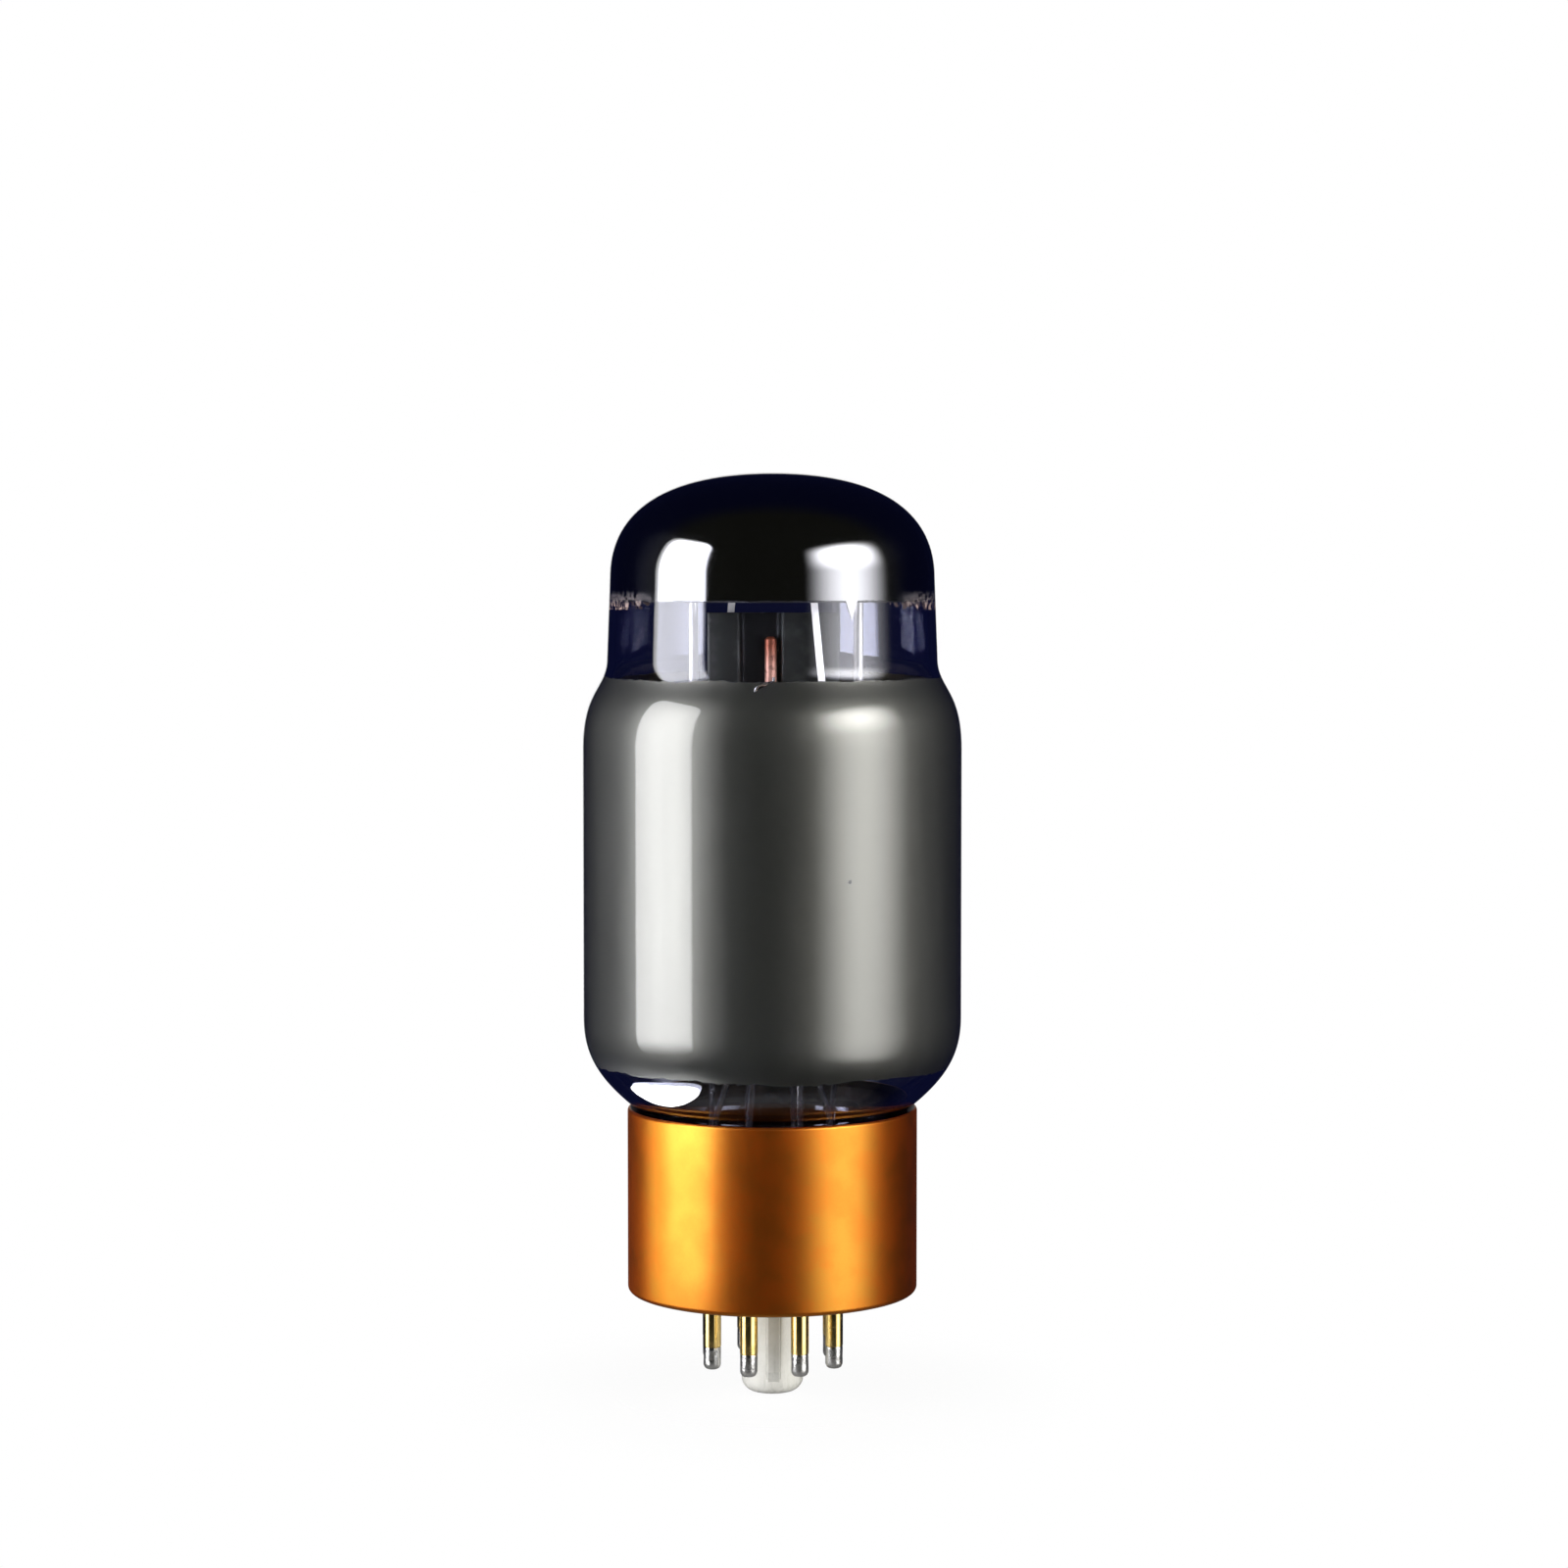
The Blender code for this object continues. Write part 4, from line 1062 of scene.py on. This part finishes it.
@dataclass
class MetalBase(Assembly):
    """The anodised sleeve, the moulding with the guide key, and the cement."""

    radius: float = 19.2 * MM
    height: float = 24.5 * MM
    wall: float = 1.2 * MM
    edge: float = 0.7 * MM
    rim: float = 0.3 * MM
    rim_rounding: float = 0.42 * MM
    lip_radius: float = 14.7 * MM
    lip_thickness: float = 1.2 * MM
    key_radius: float = 4.1 * MM
    key_length: float = 13.6 * MM
    key_rounding: float = 1.8 * MM
    key_bore: float = 2.7 * MM
    moulding_top: float = 4.7 * MM
    rib_width: float = 2.0 * MM
    rib_reach: float = 0.9 * MM
    fit: float = 0.1 * MM

    def sleeve(self) -> Solid:
        """The turned sleeve with its rolled lower edge."""
        inner = self.radius - self.wall
        rim_inner = self.radius - self.rim
        rounding = self.rim_rounding
        corner = (self.radius - rounding, self.height - rounding)
        outline = Shape.arc(corner, rounding, pi / 2, 0, 6)
        outline += [(self.radius, self.height * share) for share in (0.75, 0.5, 0.25)]
        outline += Shape.arc((self.radius - self.edge, self.edge), self.edge, 0, -pi / 2, 8)
        outline += [
            (self.lip_radius, 0.0),
            (self.lip_radius, self.lip_thickness),
            (inner, self.lip_thickness),
            (inner, self.height - (rim_inner - inner)),
            (rim_inner, self.height),
        ]
        return Shape.turned(outline, 176)

    def key(self) -> Solid:
        """The moulding: a disc with the hollow guide key, its rib and the pins' holes."""
        outer = self.radius - self.wall - self.fit
        seat = self.lip_thickness + self.fit
        shoulder = self.key_radius - self.key_rounding
        outline = [
            (self.key_bore, self.moulding_top),
            (outer, self.moulding_top),
            (outer, seat),
            (self.lip_radius - self.fit, seat),
            (self.lip_radius - self.fit, 0.0),
            (self.key_radius, 0.0),
        ]
        centre = (shoulder, self.key_rounding - self.key_length)
        outline += Shape.arc(centre, self.key_rounding, 0, -pi / 2, 8)
        floor = 1.8 * MM - self.key_length
        outline += [(0.0, -self.key_length), (0.0, floor), (self.key_bore, floor)]
        moulding = Shape.turned(outline, 96)
        moulding = self.carve(moulding, self.rib(), "UNION")
        hole = PinRing.radius + self.fit
        for x, y in PinRing.places():
            drill = Shape.turned([(0, 9 * MM), (hole, 9 * MM), (hole, -4 * MM), (0, -4 * MM)], 32)
            bmesh.ops.translate(drill, verts=drill.verts[:], vec=(x, y, 0.0))
            moulding = self.carve(moulding, drill, "DIFFERENCE")
        return moulding

    def rib(self) -> Solid:
        """The rib down the front of the key."""
        root = self.key_radius - 0.7 * MM
        reach = self.key_radius + self.rib_reach
        low = self.key_rounding - self.key_length
        profile = [(root, 0.6 * MM), (reach, 0.6 * MM), (reach, low + 1.6 * MM)]
        profile += [(self.key_radius - self.fit, low), (root, low)]
        shape = bmesh.new()
        half = self.rib_width / 2
        face = shape.faces.new([shape.verts.new((-half, -y, z)) for y, z in profile])
        swept = bmesh.ops.extrude_face_region(shape, geom=[face])["geom"]
        moved = [v for v in swept if isinstance(v, bmesh.types.BMVert)]
        bmesh.ops.translate(shape, verts=moved, vec=(self.rib_width, 0.0, 0.0))
        long_edges = [e for e in shape.edges if abs(e.verts[0].co.x - e.verts[1].co.x) < 1e-9]
        front = [e for e in long_edges if all(v.co.y < -root - 0.3 * MM for v in e.verts)]
        bmesh.ops.bevel(shape, geom=front, offset=0.25 * MM, segments=3, affect="EDGES")
        bmesh.ops.recalc_face_normals(shape, faces=shape.faces[:])
        return shape

    def build(self) -> None:
        """Makes the base's visible pieces."""
        self.piece("base_sleeve", self.sleeve(), Coat.ANODISED, "base_shell", "gold_anodised")
        self.piece("base_key_moulding", self.key(), Coat.KEY, "base_insulator", "white_ceramic")
        self.dress(Coat.CEMENT, ["base_cement"])


@dataclass
class PinRing(Assembly):
    """The eight hollow contact pins with solder on their ends."""

    count = 8
    circle = 8.725 * MM
    radius = 1.18 * MM
    bore: float = 0.70 * MM
    top: float = 5.2 * MM
    length: float = 10.0 * MM
    tip_length: float = 2.9 * MM
    tip_rounding: float = 0.75 * MM

    @classmethod
    def places(cls) -> list[Point2]:
        """Where the pins stand, counted from the key's rib."""
        turns = [2 * pi / cls.count * (i + 0.5) for i in range(cls.count)]
        return [(cls.circle * sin(t), -cls.circle * cos(t)) for t in turns]

    def tube(self) -> Solid:
        """One plated tube, which tapers slightly where the solder covers it."""
        end = -self.length + 0.7 * MM
        step = self.tip_length - self.length
        spigot = self.radius - 0.26 * MM
        outline = [(self.bore, self.top), (self.radius, self.top), (self.radius, step + 0.2 * MM)]
        outline += [(spigot, step), (spigot, end), (self.bore, end)]
        return Shape.turned(outline, 40)

    def tip(self, number: int) -> Solid:
        """One solder tip, set as a slightly uneven drop.

        Args:
            number: The pin's number, which gives each drop its own form.

        Returns:
            The tip's shape.
        """
        step = self.tip_length - self.length
        rounding = self.tip_rounding
        shoulder = rounding - self.length
        radius = self.radius
        outline = [(radius - 0.16 * MM, step + 0.12 * MM), (radius - 0.03 * MM, step + 0.08 * MM)]
        outline += [(radius, step + (shoulder - step) * i / 8) for i in range(9)]
        outline += Shape.arc((radius - rounding, shoulder), rounding, 0, -pi / 2, 8)[1:]
        outline += [(0.0, -self.length)]
        inner = radius - 0.2 * MM
        outline += [(0.0, 0.6 * MM - self.length), (inner, 0.6 * MM - self.length)]
        shape = Shape.turned(outline, 40)
        for vert in shape.verts:
            if hypot(vert.co.x, vert.co.y) > inner + 0.02 * MM:
                sample = Vector((vert.co.x, vert.co.y, vert.co.z)) / (1.1 * MM)
                swell = noise.noise(sample + Vector((number * 7.3, 0.0, 0.0)))
                vert.co.xy *= 1.0 - 0.055 * (0.5 + 0.5 * swell)
        return shape

    def build(self) -> None:
        """Makes every pin and its tip."""
        for number, (x, y) in enumerate(self.places(), 1):
            pin, tip = self.tube(), self.tip(number)
            for shape in (pin, tip):
                bmesh.ops.translate(shape, verts=shape.verts[:], vec=(x, y, 0.0))
            stands_for = f"pin_{number}", f"solder_tip_{number}"
            self.piece(f"contact_pin_{number}", pin, Coat.GOLD_PLATE, stands_for[0], "gold_plate")
            self.piece(f"contact_solder_{number}", tip, Coat.SOLDER, stands_for[1], "solder", 50)


@dataclass
class ElectrodeCage(Assembly):
    """The electrodes and their fittings, of which the clear band shows the top."""

    mica_top: float = 77.4 * MM
    rod_radius: float = 0.76 * MM
    rod_x: float = -0.35 * MM
    rod_y: float = 4.6 * MM
    rod_low: float = 34.7 * MM
    rod_high: float = 86.8 * MM
    post_radius: float = 0.6 * MM
    post_x: float = 10.9 * MM
    post_shift: float = 0.5 * MM
    post_low: float = 34.1 * MM
    post_high: float = 92.9 * MM
    sheet: float = 0.3 * MM
    radiator_width: float = 17.2 * MM
    radiator_height: float = 11.9 * MM
    channel_left: float = -4.4 * MM
    channel_right: float = 1.1 * MM
    channel_depth: float = 1.3 * MM
    channel_slope: float = 0.4 * MM
    sheet_lip: float = 1.6 * MM
    fold_rounding: float = 0.45 * MM
    stalk_half: float = 0.47 * MM
    stalk_turn: float = 0.22 * MM
    jumper_radius: float = 0.2 * MM
    fit: float = 0.1 * MM

    @staticmethod
    def rod(x: float, y: float, low: float, high: float, radius: float) -> Solid:
        """A round rod with broken edges.

        Args:
            x: Where it stands.
            y: Where it stands.
            low: The height of its foot.
            high: The height of its top.
            radius: Its radius.

        Returns:
            The rod's shape.
        """
        edge = radius * 0.45
        outline = [(0.0, high), (radius - edge, high), (radius, high - edge)]
        outline += [(radius, low + edge), (radius - edge, low), (0.0, low)]
        shape = Shape.turned(outline, 28)
        bmesh.ops.translate(shape, verts=shape.verts[:], vec=(x, y, 0.0))
        return shape

    def radiator(self, side: int) -> Solid:
        """One folded radiator, with its channel pressed round the rod.

        Args:
            side: -1 for the front one, 1 for the rear one.

        Returns:
            The radiator's shape.
        """
        floor = self.rod_y - self.rod_radius - self.fit
        face = floor + self.channel_depth
        half = self.radiator_width / 2
        slope = self.channel_slope
        path = [(-half, face - self.sheet_lip), (-half, face), (self.channel_left, face)]
        path += [(self.channel_left + slope, floor), (self.channel_right - slope, floor)]
        path += [(self.channel_right, face), (half, face), (half, face - self.sheet_lip)]
        fold = [(-side * x, side * y) for x, y in path]
        section = Shape.sheet(Shape.eased(fold, self.fold_rounding), self.sheet)
        low = self.mica_top + 0.6 * MM
        return Shape.prism(section, low, low + self.radiator_height)

    def stalk(self, side: int) -> Solid:
        """One getter stalk, a flat strip that slants inwards as it rises and is turned a little.

        Args:
            side: 1 for the front one, -1 for the rear one.

        Returns:
            The stalk's shape.
        """
        low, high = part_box(f"getter_stalk_{'front' if side > 0 else 'rear'}")
        half, turn = self.stalk_half, self.stalk_turn
        ends = (high.x - half, low.x + half)
        foot_x, top_x = ends if side > 0 else ends[::-1]
        shape = bmesh.new()
        rings = []
        for z, x in ((low.z, foot_x), (high.z, top_x)):
            corners = [(x - half, low.y - turn), (x + half, low.y + turn)]
            corners += [(x + half, high.y + turn), (x - half, high.y - turn)]
            rings.append([shape.verts.new((a, b, z)) for a, b in corners])
        shape.faces.new(rings[0])
        shape.faces.new(rings[1])
        for i in range(4):
            shape.faces.new((rings[0][i - 1], rings[0][i], rings[1][i], rings[1][i - 1]))
        bmesh.ops.bevel(shape, geom=shape.edges[:], offset=0.06 * MM, segments=2, affect="EDGES")
        bmesh.ops.recalc_face_normals(shape, faces=shape.faces[:])
        return shape

    def jumper(self) -> Solid:
        """The thin wire that runs off the front rod and dips behind the film."""
        y = -self.rod_y - self.rod_radius - 0.3 * MM
        corners = [(0.0, 81.15), (0.0, 80.4), (-2.2, 80.05), (-2.95, 77.7)]
        flat = [(x * MM, z * MM) for x, z in corners]
        route = [Vector((x, y, z)) for x, z in Shape.eased(flat, 0.7 * MM, 6)]
        return Shape.tube(route, self.jumper_radius, 16)

    def build(self) -> None:
        """Makes what the clear band shows, and dresses what it doesn't."""
        for where, side in (("front", -1), ("rear", 1)):
            y = side * self.rod_y
            rod = self.rod(self.rod_x, y, self.rod_low, self.rod_high, self.rod_radius)
            made = {
                "grid_rod": (rod, Coat.COPPER, "control_grid_rod", "copper"),
                "radiator": (self.radiator(side), Coat.CARBON, "grid_radiator", "carbonised"),
                "stalk": (self.stalk(-side), Coat.SATIN_NICKEL, "getter_stalk", "nickel"),
            }
            for name, (shape, coat, node, slot) in made.items():
                self.piece(f"{name}_{where}", shape, coat, f"{node}_{where}", slot)
        for where, side in (("left", -1), ("right", 1)):
            x = side * self.post_x + self.post_shift
            post = self.rod(x, 0.0, self.post_low, self.post_high, self.post_radius)
            self.piece(f"post_{where}", post, Coat.BRIGHT_NICKEL, f"anode_post_{where}", "nickel")
        self.piece("rod_jumper", self.jumper(), Coat.NICKEL, "grid_jumper", "nickel")
        self.dress(Coat.MICA, ["mica_lower", "mica_upper"])
        self.dress(Coat.SOOTED_MICA, ["mica_top"])
        self.dress(Coat.OXIDE, ["cathode_sleeve", "heater"])
        self.dress(Coat.CARBON, ["anode_front", "anode_rear"])
        self.dress(Coat.STEM, ["glass_stem"])
        plain = ["beam_plate", "screen_grid_rod", "getter_ring"]
        nickel = [f"{name}_{where}" for name in plain for where in ("front", "rear")]
        nickel += ["control_grid_winding", "screen_grid_winding"]
        nickel += [f"lead_wire_{number}" for number in range(1, PinRing.count + 1)]
        self.dress(Coat.NICKEL, nickel)


# Studio


class Face(Enum):
    """How a lamp's face is lit."""

    PANEL = "evenly, up to rounded corners"
    OVAL = "evenly, as an oval"
    SCRIM = "brightest at its middle line, and towards the top"


@dataclass
class Lamp:
    """A lamp with a flat face, where a glow of 1 is white. It faces the tube's axis."""

    name: str
    face: Face
    place: Vector
    width: float
    tall: float
    glow: float
    corner: float = 0.0
    colour: Colour = (1.0, 1.0, 1.0)
    facing: Vector | None = None
    roll: float = 0.0
    lights_only: str | None = None

    @staticmethod
    def around(turn: float, distance: float, height: float) -> Vector:
        """A place round the tube.

        Args:
            turn: Its direction from the axis, counted from -Y towards +X.
            distance: How far from the axis it is.
            height: Its height.

        Returns:
            The place.
        """
        return Vector((distance * sin(turn), -distance * cos(turn), height))

    def panel(self, graph: Graph) -> Term:
        """The strength over an even face with rounded corners and a soft foot."""
        spot = graph.node("ShaderNodeNewGeometry", take="Parametric")
        centred = graph.vector("SUBTRACT", spot, (0.5, 0.5, 0.0))
        scaled = graph.vector("MULTIPLY", centred, (self.width, self.tall, 0.0))
        across = graph.vector("ABSOLUTE", scaled)
        inner = (self.width / 2 - self.corner, self.tall / 2 - self.corner, 0.0)
        over = graph.vector("MAXIMUM", graph.vector("SUBTRACT", across, inner), (0.0, 0.0, 0.0))
        corners = graph.vector("LENGTH", over, take="Value").ease(self.corner * 0.72, self.corner)
        return graph.part(spot, "Y").ease(0.0, 0.22) * (1.0 - corners)

    def scrim(self, graph: Graph) -> Term:
        """The strength over a face that fades to its sides and is brightest near the top."""
        spot = graph.node("ShaderNodeNewGeometry", take="Parametric")
        side = (graph.part(spot, "X") - 0.5).math("ABSOLUTE")
        rise = graph.part(spot, "Y")
        ends = rise.ease(0.04, 0.20) * (1.0 - rise.ease(0.76, 0.93))
        level = rise.ease(0.34, 0.42) * 0.07 + rise.ease(0.54, 0.72) * 0.63 + 0.30
        return (1.0 - side.ease(0.0, 0.5)) * ends * level

    def build(self) -> None:
        """Hangs the lamp, which can't be seen straight through the bulb."""
        data = bpy.data.lights.new(self.name, "AREA")
        data.shape = "ELLIPSE" if self.face is Face.OVAL else "RECTANGLE"
        data.size = self.width
        data.size_y = self.tall
        data.energy = self.glow * self.width * self.tall * pi
        data.use_nodes = True
        graph = Graph(data.node_tree, "ShaderNodeOutputLight")
        faces = {Face.PANEL: self.panel, Face.SCRIM: self.scrim}
        strength = faces[self.face](graph) if self.face in faces else 1.0
        bounced = graph.ray("Glossy Depth").math("GREATER_THAN", 0.5)
        crossed = graph.ray("Transmission Depth").math("GREATER_THAN", 3.5)
        unseen = crossed * (1.0 - bounced)
        inputs = {"Color": (*self.colour, 1.0), "Strength": (1.0 - unseen) * strength}
        graph.finish(graph.node("ShaderNodeEmission", inputs=inputs))
        lamp = bpy.data.objects.new(self.name, data)
        bpy.context.scene.collection.objects.link(lamp)
        lamp.location = self.place
        facing = self.facing or Vector((-self.place.x, -self.place.y, 0.0))
        aimed = facing.to_track_quat("-Z", "Y")
        lamp.rotation_euler = (Quaternion((0.0, 0.0, 1.0), self.roll) @ aimed).to_euler()
        lamp.visible_camera = False
        if self.lights_only is not None:
            lit = bpy.data.collections.new(self.name)
            lit.objects.link(bpy.data.objects[self.lights_only])
            lamp.light_linking.receiver_collection = lit


@dataclass
class Studio:
    """The floor, lamps, surroundings and camera."""

    floor_height: float = -13.65 * MM
    floor_radius: float = 48 * MM
    floor_glow: float = 0.84
    front_gloom: Colour = (0.016, 0.016, 0.012)
    back_gloom: Colour = (0.004, 0.005, 0.022)
    lens: float = 80.6
    camera_turn: float = radians(-2.0)
    camera_distance: float = 463 * MM
    camera_height: float = 93.9 * MM
    aim_height: float = 67.3 * MM
    sidestep: float = 1.55 * MM
    softbox_turn: float = radians(-70.0)
    scrim_turn: float = radians(54.8)
    card_turn: float = radians(-101.0)

    def lamps(self) -> list[Lamp]:
        """The softbox on the left, the scrim on the right, and the cards by sleeve and neck."""
        softbox = Lamp.around(self.softbox_turn, 0.50, 0.145)
        scrim = Lamp.around(self.scrim_turn, 0.55, 0.108)
        sleeve_card = Lamp.around(self.card_turn, 0.50, -0.05)
        neck_card = Vector((-43 * MM, 7 * MM, -12.8 * MM))
        warm_white, straw = (1.0, 0.99, 0.95), (1.0, 0.95, 0.55)
        by_sleeve = {"corner": 0.09, "colour": straw, "lights_only": "base_sleeve"}
        by_neck = {
            "facing": Vector((0.0, 0.0, 1.0)),
            "roll": radians(15.0),
            "lights_only": "bulb_glass",
        }
        return [
            Lamp("left_softbox", Face.PANEL, softbox, 0.39, 0.65, 7.3, corner=0.09),
            Lamp("right_scrim", Face.SCRIM, scrim, 0.75, 0.935, 12.0, colour=warm_white),
            Lamp("sleeve_card", Face.PANEL, sleeve_card, 0.26, 0.30, 2.2, **by_sleeve),
            Lamp("neck_card", Face.OVAL, neck_card, 21 * MM, 64 * MM, 14.0, **by_neck),
        ]

    def floor(self) -> None:
        """A pale floor disc that fades out at its rim."""
        shape = bmesh.new()
        bmesh.ops.create_circle(shape, cap_ends=True, segments=96, radius=self.floor_radius)
        mesh = bpy.data.meshes.new("floor")
        shape.to_mesh(mesh)
        shape.free()
        floor = bpy.data.objects.new("floor", mesh)
        bpy.context.scene.collection.objects.link(floor)
        floor.location.z = self.floor_height
        material = bpy.data.materials.new("pale_floor")
        material.use_nodes = True
        graph = Graph(material.node_tree, "ShaderNodeOutputMaterial")
        from_axis = graph.vector("LENGTH", graph.place(), take="Value")
        edge = 1.0 - from_axis.ease(self.floor_radius * 0.25, self.floor_radius * 0.98)
        paper = graph.principled(Base_Color=(0.35, 0.35, 0.35), Roughness=0.6)
        lit = graph.node("ShaderNodeEmission", inputs={0: (1.0, 1.0, 1.0, 1.0), 1: 1.12})
        shown = graph.mixed(graph.ray("Is Camera Ray") * self.floor_glow, paper, lit)
        graph.finish(graph.mixed(edge, graph.node("ShaderNodeBsdfTransparent"), shown))
        mesh.materials.append(material)

    def surroundings(self) -> None:
        """A dim room, navy at the back, with a white backdrop behind the tube."""
        world = bpy.data.worlds.new("studio")
        bpy.context.scene.world = world
        world.use_nodes = True
        graph = Graph(world.node_tree, "ShaderNodeOutputWorld")
        direction = graph.node("ShaderNodeTexCoord", take="Generated")
        depth = graph.part(direction, "Y")
        behind = depth.ease(0.972, 0.985)
        low = 1.0 - graph.part(direction, "Z").ease(-0.24, -0.17)
        through = graph.ray("Is Transmission Ray")
        mirrored = (graph.ray("Is Glossy Ray") * (1.0 - through) + through * low) * behind
        white = graph.ray("Is Camera Ray").math("MAXIMUM", mirrored)
        gloom = graph.blend(depth.ease(-0.1, 0.4), self.front_gloom, self.back_gloom)
        colour = graph.blend(white, gloom, (1.0, 1.0, 1.0))
        graph.finish(graph.node("ShaderNodeBackground", inputs={0: colour, 1: 1.0}))

    def camera(self) -> None:
        """The camera, at the photograph's distance and height."""
        data = bpy.data.cameras.new("camera")
        data.sensor_width = 36.0
        data.lens = self.lens
        data.clip_start = 0.01
        camera = bpy.data.objects.new("camera", data)
        bpy.context.scene.collection.objects.link(camera)
        turn = self.camera_turn
        right = Vector((cos(turn), sin(turn), 0.0))
        back = Vector((sin(turn), -cos(turn), 0.0))
        aim = right * self.sidestep + Vector((0.0, 0.0, self.aim_height))
        camera.location = right * self.sidestep + back * self.camera_distance
        camera.location.z = self.camera_height
        camera.rotation_euler = (aim - camera.location).to_track_quat("-Z", "Y").to_euler()
        bpy.context.scene.camera = camera

    def build(self) -> None:
        """Sets up the whole studio."""
        self.floor()
        self.surroundings()
        for lamp in self.lamps():
            lamp.build()
        self.camera()
        bpy.context.scene.view_settings.view_transform = "Standard"


def main() -> None:
    """Builds the dressed tube and its studio."""
    logging.basicConfig(level=logging.INFO, format="%(name)s %(message)s")
    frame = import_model()
    for assembly in (Bulb(frame), MetalBase(frame), PinRing(frame), ElectrodeCage(frame)):
        assembly.build()
    Studio().build()


if __name__ == "__main__":
    main()
